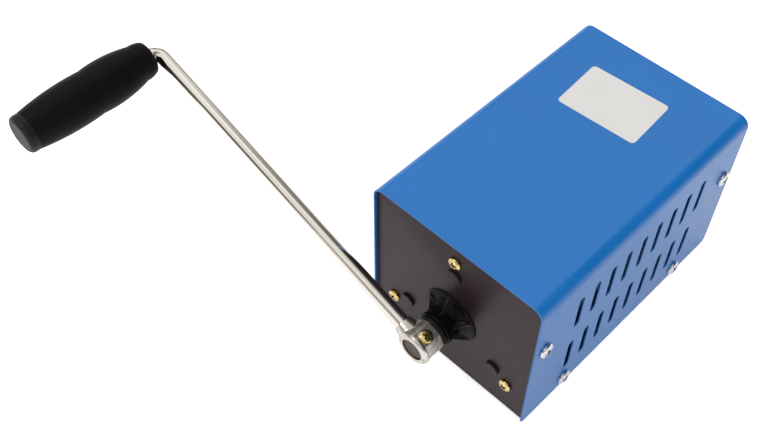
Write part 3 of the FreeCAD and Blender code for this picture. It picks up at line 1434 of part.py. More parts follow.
def make_voltmeter():
    """Voltmeter: a bezel clipped into the rear wall, a dark lens and the meter behind it."""
    wide, tall, rim = D.display_width / 2, D.display_height / 2, D.display_rim
    bezel = new_body("voltmeter_bezel")
    frame = new_sketch(bezel, "XZ_Plane")
    add_outline(frame, rectangle(-wide, wide, -tall, tall))
    pad(bezel, frame, D.display_proud)
    edge_x, edge_z, front = wide.number, tall.number, -D.display_proud.number
    soften(bezel, D.display_proud / 2, lambda edge: any(
        runs_along(edge, x=x, z=z) for x in (-edge_x, edge_x) for z in (-edge_z, edge_z)))
    sleeve = new_sketch(bezel, "XZ_Plane")
    play = D.fixed_clearance
    cut_x, cut_z = wide - display_cut - play, tall - display_cut - play
    add_outline(sketch=sleeve, corners=rectangle(-cut_x, cut_x, -cut_z, cut_z))
    pad(bezel, sleeve, D.chassis_sheet * 3, backwards=True)
    window = new_sketch(bezel, "XZ_Plane", at=-D.display_proud)
    add_outline(window, rectangle(-wide + rim, wide - rim, -tall + rim, tall - rim))
    cut(bezel, window)
    place(bezel, D.display_x, rear_wall_outer, D.display_z, rear_turn)
    lens = new_body("voltmeter_lens")
    pane = new_sketch(lens, "XZ_Plane")
    pane_x, pane_z = wide - rim - play, tall - rim - play
    add_outline(pane, rectangle(-pane_x, pane_x, -pane_z, pane_z))
    pad(lens, pane, D.display_proud * 0.8)
    place(lens, D.display_x, rear_wall_outer, D.display_z, rear_turn)
    meter = doc.addObject("Part::Box", "voltmeter_body")
    meter.Label = "voltmeter_body"
    pieces.append(meter)
    meter.setExpression("Length", (pane_x * 2).formula)
    meter.setExpression("Width", D.display_depth.formula)
    meter.setExpression("Height", (pane_z * 2).formula)
    place(meter, D.display_x - pane_x, rear_wall_outer - D.display_depth, D.display_z - pane_z)


pot_bush_length = D.chassis_sheet * 4
knob_gap = D.washer_thickness * 3 + D.end_play


def make_potentiometer():
    """Potentiometer behind the rear wall, its threaded bush through the wall, and its nut."""
    body = turned_body("potentiometer", [
        (D.knob_shaft_radius + D.running_clearance, 0),
        (D.pot_bush_radius, 0),
        (D.pot_bush_radius, pot_bush_length),
        (D.pot_radius, pot_bush_length),
        (D.pot_radius, pot_bush_length + D.pot_depth),
        (0, pot_bush_length + D.pot_depth),
        (0, pot_bush_length + D.end_play * 2),
        (D.knob_shaft_radius + D.running_clearance, pot_bush_length + D.end_play * 2),
    ])
    place(body, D.knob_x, rear_wall_inner + pot_bush_length, D.knob_z, rear_turn)
    nut = new_body("potentiometer_nut")
    sketch = new_sketch(nut, "XZ_Plane")
    add_outline(sketch, hexagon(0, 0, D.pot_bush_radius * 3))
    add_circle(sketch, 0, 0, D.pot_bush_radius + D.fixed_clearance)
    pad(nut, sketch, D.washer_thickness * 2)
    place(nut, D.knob_x, rear_wall_outer, D.knob_z, rear_turn)


def make_voltage_knob():
    """Fluted knob on the potentiometer's shaft; it covers the nut."""
    knob_back = rear_wall_outer + D.end_play * 2
    socket = D.knob_height - 2
    hollow = pot_bush_length - D.chassis_sheet + D.end_play
    top = D.knob_radius * 0.85
    knob = turned_body("voltage_knob", [
        (0, 0),
        (top, 0),
        (D.knob_radius, socket * 0.3),
        (D.knob_radius, D.knob_height),
        (D.knob_radius - 1.2, D.knob_height),
        (D.knob_radius - 1.2, D.knob_height - hollow),
        (D.knob_shaft_radius + D.fixed_clearance, D.knob_height - hollow),
        (D.knob_shaft_radius + D.fixed_clearance, 2),
        (0, 2),
    ])
    flute = new_sketch(knob, "XZ_Plane")
    add_circle(flute, D.knob_radius + 0.5, 0, D.knob_radius * 0.1)
    flute_cut = cut(knob, flute, D.knob_height)
    around(knob, flute_cut, D.knob_flutes, "Y_Axis")
    place(knob, D.knob_x, knob_back + D.knob_height, D.knob_z, rear_turn)
    shaft_length = D.knob_height - 2 + D.chassis_sheet + D.end_play
    shaft = doc.addObject("Part::Cylinder", "knob_shaft")
    shaft.Label = "knob_shaft"
    pieces.append(shaft)
    shaft.setExpression("Radius", D.knob_shaft_radius.formula)
    shaft.setExpression("Height", shaft_length.formula)
    shaft_start = knob_back + D.knob_height - 2
    place(shaft, D.knob_x, shaft_start, D.knob_z, Rotation(Vector(0, 0, 1), Vector(0, -1, 0)))


def make_output_sockets():
    """Red and black sockets for 4 mm plugs, held by round nuts behind the wall."""
    flange = D.socket_flange_height
    depth = flange + D.chassis_sheet + D.socket_depth
    nut = rod_solid(D.socket_flange.number, flange.number)
    nut = nut.cut(rod_solid((D.socket_body + D.fixed_clearance).number, flange.number))
    nuts = []
    for label, sign in (("output_socket_red", 1), ("output_socket_black", -1)):
        socket = turned_body(label, [
            (D.socket_bore, 0),
            (D.socket_flange - 0.8, 0),
            (D.socket_flange, 0.8),
            (D.socket_flange, flange),
            (D.socket_body, flange),
            (D.socket_body, depth),
            (0, depth),
            (0, D.socket_bore_depth),
            (D.socket_bore, D.socket_bore_depth),
        ])
        x = sign * (D.socket_spacing / 2)
        place(socket, x, rear_wall_outer + flange, D.socket_z, rear_turn)
        nuts.append(set_at(nut, x.number, (rear_wall_inner - flange).number, D.socket_z.number))
    group("socket_nuts", nuts)


def build():
    """Make every piece in the order of assembly."""
    make_chassis()
    make_bearing_hub()
    make_hub_nut()
    make_bushes()
    make_front_gear_plate()
    make_gear_pins()
    make_cluster_gears()
    make_crank_shaft()
    make_input_gear()
    make_shaft_retainers()
    make_rear_gear_plate()
    make_gearbox_fasteners()
    make_bearings()
    make_rotor()
    make_stator_core()
    make_stator_winding()
    make_generator_housing()
    make_end_bell()
    make_tie_bolts()
    make_circuit_board()
    make_board_fasteners()
    make_capacitors()
    make_rectifier()
    make_heat_sink()
    make_inductor()
    make_voltmeter()
    make_potentiometer()
    make_voltage_knob()
    make_output_sockets()
    make_cover()
    make_cover_fasteners()
    make_seal_ring()
    make_crank_boss()
    make_clamp_screw()
    make_crank_rod()
    make_grip_washer()
    make_grip()
    make_grip_cap()


def check_and_write():
    """Stop on anything that failed, then write one file for each piece."""
    doc.recompute()
    for item in doc.Objects:
        if "Invalid" in item.State or "Error" in item.State:
            raise RuntimeError(f"{item.Label} failed: {item.State}")
    for piece in pieces:
        if piece.Shape.isNull() or not piece.Shape.isValid() or not piece.Shape.Solids:
            raise RuntimeError(f"{piece.Label} has no valid solid")
    os.makedirs("parts", exist_ok=True)
    for piece in pieces:
        piece.Shape.exportStep(f"parts/{piece.Label}.step")
        box = piece.Shape.BoundBox
        print(f"{piece.Label:22s} {len(piece.Shape.Solids):2d} {piece.Shape.Volume:10.1f} "
              f"x {box.XMin:7.2f} {box.XMax:7.2f} y {box.YMin:7.2f} {box.YMax:7.2f} "
              f"z {box.ZMin:7.2f} {box.ZMax:7.2f}")
    print(len(pieces), "pieces")


build()
check_and_write()
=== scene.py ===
import json
import math

import bmesh
import bpy
from mathutils import Matrix, Vector

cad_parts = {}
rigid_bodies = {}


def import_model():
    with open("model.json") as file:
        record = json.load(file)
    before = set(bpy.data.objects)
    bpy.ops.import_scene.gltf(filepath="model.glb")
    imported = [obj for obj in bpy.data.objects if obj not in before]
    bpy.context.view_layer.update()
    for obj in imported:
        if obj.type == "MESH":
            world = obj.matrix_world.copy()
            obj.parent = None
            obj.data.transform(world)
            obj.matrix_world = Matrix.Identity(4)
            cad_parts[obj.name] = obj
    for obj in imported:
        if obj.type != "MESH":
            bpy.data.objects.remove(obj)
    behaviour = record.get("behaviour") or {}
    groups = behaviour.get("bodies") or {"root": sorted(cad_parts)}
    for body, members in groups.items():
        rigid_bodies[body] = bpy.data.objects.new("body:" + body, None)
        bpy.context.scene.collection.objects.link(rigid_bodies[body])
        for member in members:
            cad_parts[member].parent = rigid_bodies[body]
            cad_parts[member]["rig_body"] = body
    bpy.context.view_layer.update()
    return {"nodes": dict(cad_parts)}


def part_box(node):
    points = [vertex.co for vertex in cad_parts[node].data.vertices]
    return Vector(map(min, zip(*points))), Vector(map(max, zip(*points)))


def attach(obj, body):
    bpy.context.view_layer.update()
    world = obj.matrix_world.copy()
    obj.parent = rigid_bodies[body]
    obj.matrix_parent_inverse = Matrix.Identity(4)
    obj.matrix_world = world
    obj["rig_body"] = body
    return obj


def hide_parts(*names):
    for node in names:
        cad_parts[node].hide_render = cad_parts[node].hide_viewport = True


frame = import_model()
nodes = frame["nodes"]
MM = 0.001


# Camera. It stands a little over half a metre from the machine, in front of its right-hand corner,
# and looks down on it from 52 degrees through a normal lens.
CAMERA_PLACE = (0.1687, -0.2928, 0.4669)
CAMERA_TILT = 37.95
CAMERA_TURN = 44.61
CAMERA_LENS = 49.45
CAMERA_FILM = 36
CAMERA_NEAR = 10 * MM

camera_data = bpy.data.cameras.new("camera")
camera_data.lens = CAMERA_LENS
camera_data.sensor_width = CAMERA_FILM
camera_data.clip_start = CAMERA_NEAR
camera = bpy.data.objects.new("camera", camera_data)
camera.location = CAMERA_PLACE
camera.rotation_euler = (math.radians(CAMERA_TILT), 0, math.radians(CAMERA_TURN))
bpy.context.scene.collection.objects.link(camera)
bpy.context.scene.camera = camera
bpy.context.scene.view_settings.view_transform = "Standard"


# Studio. The machine stands on a white table. Three wide lamps, right, left and rear, give light that
# bright metal doesn't mirror. What it mirrors is a small front lamp, the table and the room: pale
# walls, a dark band above them, a cream ceiling, and a dark patch high up on the right, to the rear.
class Signal:
    """A node's output; arithmetic on it adds the Math nodes that work it out."""

    def __init__(self, finish, socket):
        self.finish = finish
        self.socket = socket

    def math(self, operation, first, second):
        links = {"Value": first, "Value_001": second}
        return self.finish.node("Math", {"operation": operation}, links)

    def __add__(self, other):
        return self.math("ADD", self, other)

    def __sub__(self, other):
        return self.math("SUBTRACT", self, other)

    def __rsub__(self, other):
        return self.math("SUBTRACT", other, self)

    def __mul__(self, other):
        return self.math("MULTIPLY", self, other)

    __radd__ = __add__
    __rmul__ = __mul__


class Finish:
    """A material built from nodes. It paints one real finish."""

    def __init__(self, name, tree=None):
        self.material = None
        if tree is None:
            self.material = bpy.data.materials.new(name)
            self.material.use_nodes = True
            tree = self.material.node_tree
        self.tree = tree
        self.tree.nodes.clear()

    def node(self, kind, settings, links, output=None):
        """Add a node: its settings first, then its sockets. Returns the named or the first output."""
        made = self.tree.nodes.new("ShaderNode" + kind)
        for name, value in settings.items():
            if name != "stops":
                setattr(made, name, value)
                continue
            stops = made.color_ramp.elements
            for place, colour in value[1:-1]:
                stops.new(place)
            for stop, (place, colour) in zip(stops, value):
                stop.position = place
                stop.color = (*colour, 1)
        for name, value in links.items():
            socket = next(socket for socket in made.inputs if socket.identifier == name)
            if isinstance(value, Signal):
                self.tree.links.new(value.socket, socket)
            else:
                socket.default_value = value
        for socket in made.outputs:
            if output in (None, socket.identifier):
                return Signal(self, socket)

    def mix(self, factor, first, second):
        """A colour between two colours."""
        pair = [value if isinstance(value, Signal) else (*value, 1) for value in (first, second)]
        links = {"Factor_Float": factor, "A_Color": pair[0], "B_Color": pair[1]}
        return self.node("Mix", {"data_type": "RGBA"}, links, "Result_Color")

    def ramp(self, value, low, high, to_low=0.0, to_high=1.0):
        """A value carried over from one range to another, and held inside it."""
        links = {"Value": value, "From Min": low, "From Max": high,
                 "To Min": to_low, "To Max": to_high}
        return self.node("MapRange", {}, links)

    def spread(self, noise, to_low, to_high):
        """A noise carried over from its usual range to another."""
        return self.ramp(noise, 0.3, 0.7, to_low, to_high)

    def place(self):
        """Where a point of the piece lies, in metres."""
        return self.node("TexCoord", {}, {}, "Object")

    def noise(self, scale, detail=2.0, roughness=0.5, start=None):
        """Cloudy variation; the scale is per metre, as one number or one for each direction."""
        scale = scale if isinstance(scale, tuple) else (scale, scale, scale)
        links = {"Vector": start or self.place(), "Vector_001": scale}
        point = self.node("VectorMath", {"operation": "MULTIPLY"}, links)
        links = {"Vector": point, "Scale": 1.0, "Detail": detail, "Roughness": roughness}
        return self.node("TexNoise", {}, links)

    def bump(self, height, depth, strength=1.0, under=None):
        """A normal from a height signal; the depth is in metres."""
        links = {"Height": height, "Distance": depth, "Strength": strength}
        if under is not None:
            links["Normal"] = under
        return self.node("Bump", {}, links)

    def surface(self, **values):
        """The finished surface; words are joined by underscores."""
        links = {name.replace("_", " "): value for name, value in values.items()}
        shader = self.node("BsdfPrincipled", {}, links)
        self.node("OutputMaterial", {}, {"Surface": shader})
        return self


def linked(name, mesh):
    """A scene object that holds a mesh."""
    data = bpy.data.meshes.new(name)
    mesh.to_mesh(data)
    mesh.free()
    piece = bpy.data.objects.new(name, data)
    bpy.context.scene.collection.objects.link(piece)
    return piece


LAMP_AIM = Vector((0, 0, 50 * MM))
# Each lamp's name, place and width in metres, power in watts, and whether bright metal mirrors it
LAMPS = (("lamp_right", (1.3, 0.1, 1.3), 0.9, 13, False),
         ("lamp_left", (-1.5, 0.2, 1.0), 0.9, 11, False),
         ("lamp_rear", (-0.4, 1.7, 0.7), 0.9, 5, False),
         ("lamp_front", (-0.63, -1.07, 1.28), 0.25, 4, True))
for lamp_name, lamp_place, lamp_width, lamp_power, mirrored in LAMPS:
    lamp_data = bpy.data.lights.new(lamp_name, "AREA")
    lamp_data.shape = "SQUARE"
    lamp_data.size = lamp_width
    lamp_data.energy = lamp_power
    lamp = bpy.data.objects.new(lamp_name, lamp_data)
    lamp.location = lamp_place
    lamp.visible_glossy = mirrored
    lamp.rotation_euler = (LAMP_AIM - Vector(lamp_place)).to_track_quat("-Z", "Y").to_euler()
    bpy.context.scene.collection.objects.link(lamp)

WHITE = (1.0, 1.0, 1.0)
PALE_WALL = (0.9, 0.89, 0.88)
DARK_BAND = (0.16, 0.14, 0.13)
CREAM_CEILING = (1.0, 0.96, 0.88)
DARK_PATCH = (0.03, 0.03, 0.03)
DARK_PATCH_WAY = Vector((0.62, 0.5, 0.6)).normalized()
# The room's shade from straight down, at 0, to straight up, at 1
HEIGHT_STOPS = ((0.0, (0.9, 0.9, 0.9)), (0.6, PALE_WALL), (0.64, DARK_BAND), (0.77, DARK_BAND),
                (0.81, CREAM_CEILING), (1.0, (0.9, 0.9, 0.88)))
# What is left of it from the far side of the room, at 0, to the middle of the dark patch, at 1
PATCH_STOPS = ((0.0, WHITE), (0.85, WHITE), (0.9, (0.3, 0.28, 0.26)), (0.94, DARK_PATCH),
               (1.0, (0.02, 0.02, 0.02)))
world = bpy.data.worlds.new("studio")
world.use_nodes = True
bpy.context.scene.world = world
room = Finish("studio", world.node_tree)
direction = room.node("TexCoord", {}, {}, "Generated")
towards_patch = room.node("VectorMath", {"operation": "DOT_PRODUCT"},
                          {"Vector": direction, "Vector_001": DARK_PATCH_WAY}, "Value")
upwards = room.node("SeparateXYZ", {}, {"Vector": direction}, "Z")
patch_shade = room.node("ValToRGB", {"stops": PATCH_STOPS}, {"Fac": towards_patch * 0.5 + 0.5})
height_shade = room.node("ValToRGB", {"stops": HEIGHT_STOPS}, {"Fac": upwards * 0.5 + 0.5})
room_shade = room.node("VectorMath", {"operation": "MULTIPLY"},
                       {"Vector": height_shade, "Vector_001": patch_shade})
seen_directly = room.node("LightPath", {}, {}, "Is Camera Ray")
backdrop = room.mix(seen_directly, room_shade, WHITE)
background = room.node("Background", {}, {"Color": backdrop, "Strength": 1.0})
room.node("OutputWorld", {}, {"Surface": background})

TABLE_REACH = 3.0
TABLE_COLOUR = (0.82, 0.82, 0.82, 1)
TABLE_GLOW_SEEN = 0.6
TABLE_GLOW_MIRRORED = 0.32
table_mesh = bmesh.new()
bmesh.ops.create_grid(table_mesh, x_segments=1, y_segments=1, size=TABLE_REACH)
table = linked("table", table_mesh)
white_table = Finish("white_table")
camera_ray = white_table.node("LightPath", {}, {}, "Is Camera Ray")
glossy_ray = white_table.node("LightPath", {}, {}, "Is Glossy Ray")
table_glow = camera_ray * TABLE_GLOW_SEEN + glossy_ray * TABLE_GLOW_MIRRORED
glow = white_table.node("Emission", {}, {"Color": (*WHITE, 1), "Strength": table_glow})
matt = white_table.node("BsdfDiffuse", {}, {"Color": TABLE_COLOUR})
table_surface = white_table.node("AddShader", {}, {"Shader": matt, "Shader_001": glow})
white_table.node("OutputMaterial", {}, {"Surface": table_surface})
table.data.materials.append(white_table.material)


# Chassis. Floor and both end walls are one strip of steel sheet, folded up and coated satin black,
# with flanges for the cover. The cover's screws and the bearing hub hold on to it.
WELD_GAP = 0.001 * MM
FLAT_ANGLE = math.radians(0.4)
CHASSIS_EDGE = 0.15 * MM
COAT_ROUGHNESS = 0.34
DUST = (0.45, 0.45, 0.45)


def paint_node(name, finish):
    """Give a solid of the frame its finish."""
    for slot in nodes[name].material_slots:
        slot.material = finish.material


def stand_in(piece, node):
    """Let a piece take a solid's place and on its body."""
    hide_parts(node)
    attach(piece, nodes[node]["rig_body"])


def eased(node, piece_name, finish, width, steps=2, sharp=28):
    """A copy of a solid with its sharp edges eased, as a real piece has them."""
    mesh = bmesh.new()
    mesh.from_mesh(nodes[node].data)
    bmesh.ops.remove_doubles(mesh, verts=mesh.verts, dist=WELD_GAP)
    bmesh.ops.dissolve_limit(mesh, angle_limit=FLAT_ANGLE, verts=mesh.verts, edges=mesh.edges)
    for face in mesh.faces:
        face.smooth = True
    piece = linked(piece_name, mesh)
    bevel = piece.modifiers.new("edges", "BEVEL")
    bevel.width = width
    bevel.segments = steps
    bevel.limit_method = "ANGLE"
    bevel.angle_limit = math.radians(sharp)
    shading = piece.modifiers.new("shading", "WEIGHTED_NORMAL")
    shading.keep_sharp = True
    piece.data.materials.append(finish.material)
    stand_in(piece, node)
    return piece


def toned(colour, factor, lift=0.0):
    """A colour made lighter or darker."""
    return tuple(min(1.0, part * factor + lift) for part in colour)


def powder_coat(name, colour, shine=0.5, tint=WHITE):
    """Baked powder coat: orange peel, slightly uneven gloss and a few dust marks."""
    finish = Finish(name)
    peel = finish.noise(1500.0)
    cloud = finish.noise(28.0, detail=3.0)
    dust = finish.ramp(finish.noise(2600.0, detail=1.0), low=0.7, high=0.78)
    base = finish.mix(cloud, toned(colour, 0.94), toned(colour, 1.08, lift=0.001))
    base = finish.mix(dust * 0.05, base, DUST)
    gloss = (cloud - 0.5) * 0.1 + COAT_ROUGHNESS + dust * 0.15
    normal = finish.bump(peel, 0.04 * MM)
    return finish.surface(Base_Color=base, Roughness=gloss, Normal=normal,
                          Specular_IOR_Level=shine, Specular_Tint=(*tint, 1))


black_coat = powder_coat("black_powder_coat", (0.018, 0.0105, 0.0135), shine=0.2,
                         tint=(1.0, 0.7, 0.85))
eased("chassis", "chassis_sheet", black_coat, CHASSIS_EDGE)


# Bearing hub. A cast and black painted hub with a ribbed foot; its spigot goes through the front wall
# and a flat nut holds it from behind. Two sintered bronze bushes in it carry the crank shaft.
HUB_BORE = (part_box("shaft_bushes")[1].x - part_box("shaft_bushes")[0].x) / 2 / MM
HUB_END = (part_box("bearing_hub")[1].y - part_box("bearing_hub")[0].y) / MM
HUB_LIP = 9.5
HUB_NECK = 9.1
HUB_FLARE = 15.2
HUB_FOOT = 15.7
HUB_SPIGOT = 10.0
HUB_FLARE_START = 4.4
HUB_FLARE_END = 11.2
HUB_SPIGOT_START = 12.0
HUB_SPIGOT_CHAMFER = 0.4
# Points along each edge: how far it stands out from its radius, and its depth from the free end
HUB_LIP_EDGE = ((-0.4, 0.0), (-0.1, 0.15), (0.0, 0.5), (0.0, 1.2), (-0.1, 1.6))
HUB_NECK_EDGE = ((0.1, 2.0), (0.0, 2.4), (0.0, HUB_FLARE_START))
HUB_FOOT_EDGE = ((-0.15, 11.35), (0.0, 11.7), (0.0, 11.85), (-0.15, HUB_SPIGOT_START))
HUB_FIRST_RIB = math.radians(30)
HUB_RIB_PITCH = math.radians(60)
HUB_RIB_SPREAD = 0.13
HUB_RIB_POWER = 1.05
HUB_VALLEY_POWER = 4.5
HUB_FLARE_STEPS = 14
HUB_TURN_STEPS = 180


def hub_profile(angle):
    """Points of radius and depth from the hub's free end to its rear, at one angle round the shaft."""
    off_rib = (angle - HUB_FIRST_RIB + HUB_RIB_PITCH / 2) % HUB_RIB_PITCH - HUB_RIB_PITCH / 2
    rib = math.exp(-(off_rib / HUB_RIB_SPREAD) ** 2)
    power = HUB_VALLEY_POWER + (HUB_RIB_POWER - HUB_VALLEY_POWER) * rib
    points = [(HUB_BORE, 0.0)]
    points += [(HUB_LIP + out, depth) for out, depth in HUB_LIP_EDGE]
    points += [(HUB_NECK + out, depth) for out, depth in HUB_NECK_EDGE]
    for step in range(1, HUB_FLARE_STEPS + 1):
        part = step / HUB_FLARE_STEPS
        points.append((HUB_NECK + (HUB_FLARE - HUB_NECK) * part ** power,
                       HUB_FLARE_START + (HUB_FLARE_END - HUB_FLARE_START) * part))
    points += [(HUB_FOOT + out, depth) for out, depth in HUB_FOOT_EDGE]
    points += [(HUB_SPIGOT, HUB_SPIGOT_START), (HUB_SPIGOT, HUB_END - HUB_SPIGOT_CHAMFER),
               (HUB_SPIGOT - HUB_SPIGOT_CHAMFER, HUB_END), (HUB_BORE, HUB_END)]
    return points


def cast_paint(name, colour, roughness, grain, depth, shine=0.5):
    """Paint over a casting or a moulding: small lumps, and gloss that varies over them."""
    finish = Finish(name)
    lumps = finish.noise(grain, detail=4.0, roughness=0.6)
    fine = finish.noise(grain * 4.5)
    base = finish.mix(lumps, toned(colour, 0.7), toned(colour, 1.5))
    gloss = finish.spread(lumps, roughness - 0.08, roughness + 0.1)
    normal = finish.bump(fine, depth * 0.4, under=finish.bump(lumps, depth))
    return finish.surface(Base_Color=base, Roughness=gloss, Normal=normal,
                          Specular_IOR_Level=shine)


def turned_metal(name, colour, roughness, across=(9000.0, 300.0, 9000.0), depth=0.008 * MM):
    """Machined metal: fine tool lines across one direction, and faint stains."""
    finish = Finish(name)
    lines = finish.noise(across, roughness=0.6)
    stains = finish.noise(90.0, detail=3.0)
    base = finish.mix(stains * 0.25, colour, toned(colour, 0.55))
    gloss = finish.spread(lines, roughness * 0.8, roughness * 1.25) + stains * 0.06
    normal = finish.bump(lines, depth)
    return finish.surface(Base_Color=base, Metallic=1.0, Roughness=gloss, Normal=normal)


hub_low, hub_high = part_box("bearing_hub")
hub_start = Vector(((hub_low.x + hub_high.x) / 2, hub_low.y, (hub_low.z + hub_high.z) / 2))
hub_mesh = bmesh.new()
hub_lines = []
for step in range(HUB_TURN_STEPS):
    angle = 2 * math.pi * step / HUB_TURN_STEPS
    hub_lines.append([])
    for radius, depth in hub_profile(angle):
        offset = Vector((radius * math.cos(angle), depth, radius * math.sin(angle))) * MM
        hub_lines[-1].append(hub_mesh.verts.new(hub_start + offset))
for line, next_line in zip(hub_lines, hub_lines[1:] + hub_lines[:1]):
    for index in range(len(line)):
        after = (index + 1) % len(line)
        face = hub_mesh.faces.new((line[index], line[after], next_line[after], next_line[index]))
        face.smooth = True
bmesh.ops.recalc_face_normals(hub_mesh, faces=hub_mesh.faces)
hub_casting = linked("hub_casting", hub_mesh)
hub_paint = cast_paint("hub_paint", (0.0035, 0.0026, 0.003), roughness=0.3, grain=500.0,
                       depth=0.03 * MM, shine=0.08)
hub_casting.data.materials.append(hub_paint.material)
stand_in(hub_casting, "bearing_hub")
bronze = turned_metal("sintered_bronze", (0.55, 0.33, 0.14), roughness=0.45,
                      across=(2500.0, 2500.0, 2500.0))
plain_steel = turned_metal("plain_steel", (0.52, 0.52, 0.53), roughness=0.32)
paint_node("hub_nut", plain_steel)
paint_node("shaft_bushes", bronze)


# Gearbox. Two aluminium plates stand apart on hexagonal pillars, and three steel pins go through both
# and through the front wall, where their flat black heads show. Three brass screws hold the box.
PIN_EDGE = 0.12 * MM
SHAFT_HEIGHT = 41.5 * MM
WALL_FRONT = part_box("chassis")[0].y
BRASS_SCREW_CIRCLE = 42.5 * MM
# Each brass screw's angle round the shaft and the turn of its cross, in degrees
BRASS_SCREWS = ((90, 20), (210, 65), (330, 40))
HEAD_SHARP = math.radians(32)
# Shares of a screw's head radius
HEAD_SEAT = 0.97
HEAD_EDGE = 0.025
RECESS_REACH = 0.62
# How far out the painted shade in the cross recess reaches
HOLLOW_REACH = 0.7
# Shares of its head's height
HEAD_RIM = 0.08
CROWN_START = 0.42
RECESS_DEPTH = 0.8
# How far under the crown the painted shade in the cross recess starts
HOLLOW_DEPTH = 0.12
# Shares of its shank's radius: the point, and the length of the taper there
POINT_RADIUS = 0.8
POINT_LENGTH = 0.25
# Top and bottom of a cross recess: its arms' length and half width, as shares of its reach, and its
# height, as a share of its depth
RECESS_ENDS = ((1.12, 0.27, 0.2), (0.42, 0.13, -1.0))


def cross_cutter(reach, depth):
    """The shape of a cross recess: a plus sign that narrows towards its bottom."""
    mesh = bmesh.new()
    rings = []
    for arm_length, arm_half_width, height in RECESS_ENDS:
        far = reach * arm_length
        near = reach * arm_half_width
        outline = [(far, -near), (far, near), (near, near), (near, far), (-near, far),
                   (-near, near), (-far, near), (-far, -near), (-near, -near), (-near, -far),
                   (near, -far), (near, -near)]
        rings.append([mesh.verts.new((x, y, height * depth)) for x, y in outline])
    top, bottom = rings
    mesh.faces.new(top)
    mesh.faces.new(reversed(bottom))
    for index in range(len(top)):
        after = (index + 1) % len(top)
        mesh.faces.new((top[index], bottom[index], bottom[after], top[after]))
    bmesh.ops.recalc_face_normals(mesh, faces=mesh.faces)
    return mesh


def turned_mesh(profile, steps=56):
    """A solid spun round Z from points of radius and height."""
    mesh = bmesh.new()
    points = [mesh.verts.new((radius, 0, height)) for radius, height in profile]
    lines = [mesh.edges.new(pair) for pair in zip(points, points[1:])]
    bmesh.ops.spin(mesh, geom=points + lines, cent=(0, 0, 0), axis=(0, 0, 1),
                   angle=2 * math.pi, steps=steps, use_merge=True)
    bmesh.ops.remove_doubles(mesh, verts=mesh.verts, dist=WELD_GAP / 10)
    bmesh.ops.recalc_face_normals(mesh, faces=mesh.faces)
    return mesh


def settled(piece):
    """The piece's mesh with its modifiers worked in, and the piece itself removed."""
    bpy.context.view_layer.update()
    graph = bpy.context.evaluated_depsgraph_get()
    data = bpy.data.meshes.new_from_object(piece.evaluated_get(graph))
    bpy.data.objects.remove(piece)
    return data


def crown(reach, height):
    """Height of a pan head's crown over its seat, at a share of the head's radius."""
    return height * (CROWN_START + (1 - CROWN_START) * math.sqrt(max(0, 1 - reach ** 2)))


def cross_head_screw(head, height, shank, length, crown_steps=8):
    """A pan head screw along -Z with a cross recess; the head's underside is at z = 0."""
    profile = [(0, -length), (shank * POINT_RADIUS, -length),
               (shank, -length + shank * POINT_LENGTH), (shank, 0),
               (head * HEAD_SEAT, 0), (head, height * HEAD_RIM)]
    for step in range(crown_steps):
        reach = math.cos(math.pi / 2 * step / crown_steps)
        profile.append((head * reach, crown(reach, height)))
    profile.append((0, height))
    body = linked("screw_body", turned_mesh(profile))
    cutter_mesh = cross_cutter(head * RECESS_REACH, height * RECESS_DEPTH)
    bmesh.ops.translate(cutter_mesh, verts=cutter_mesh.verts, vec=(0, 0, height))
    cutter = linked("screw_cutter", cutter_mesh)
    cut = body.modifiers.new("recess", "BOOLEAN")
    cut.operation = "DIFFERENCE"
    cut.solver = "EXACT"
    cut.object = cutter
    edges = body.modifiers.new("edges", "BEVEL")
    edges.width = head * HEAD_EDGE
    edges.segments = 2
    edges.limit_method = "ANGLE"
    edges.angle_limit = HEAD_SHARP
    data = settled(body)
    bpy.data.objects.remove(cutter)
    # Faces deep in the cross recess take the second material, a painted shade.
    for face in data.polygons:
        reach = math.hypot(face.center.x, face.center.y) / head
        floor = crown(reach, height) - height * HOLLOW_DEPTH
        shaded_hollow = reach < HOLLOW_REACH and 0 < face.center.z < floor
        face.material_index = 1 if shaded_hollow else 0
    return data


def fastener_set(name, data, places, finish, node):
    """One piece that holds a fastener at each of its places; it stands for the solid's node."""
    mesh = bmesh.new()
    for place in places:
        copy = data.copy()
        copy.transform(place)
        mesh.from_mesh(copy)
        bpy.data.meshes.remove(copy)
    for face in mesh.faces:
        face.smooth = True
    piece = linked(name, mesh)
    shading = piece.modifiers.new("shading", "WEIGHTED_NORMAL")
    shading.keep_sharp = True
    piece.data.materials.append(finish.material)
    # The second material paints shade into the screws' cross recesses.
    piece.data.materials.append(painted_recess_shade.material)
    stand_in(piece, node)


def facing(direction, place, turn):
    """A place for a screw whose head faces along a direction; the turn is in degrees."""
    aim = Vector(direction).to_track_quat("Z", "Y").to_matrix().to_4x4()
    return Matrix.Translation(Vector(place)) @ aim @ Matrix.Rotation(math.radians(turn), 4, "Z")


def screw_brass(name):
    """Polished brass with patches of tarnish."""
    finish = Finish(name)
    cloud = finish.noise(700.0, detail=3.0, roughness=0.6)
    scratches = finish.noise((9000.0, 1200.0, 5000.0))
    tarnish = finish.ramp(cloud, low=0.5, high=0.7)
    base = finish.mix(tarnish, (0.85, 0.68, 0.3), (0.36, 0.22, 0.06))
    gloss = finish.spread(scratches, 0.12, 0.22) + tarnish * 0.2
    normal = finish.bump(scratches, 0.006 * MM)
    return finish.surface(Base_Color=base, Metallic=1.0, Roughness=gloss, Normal=normal)


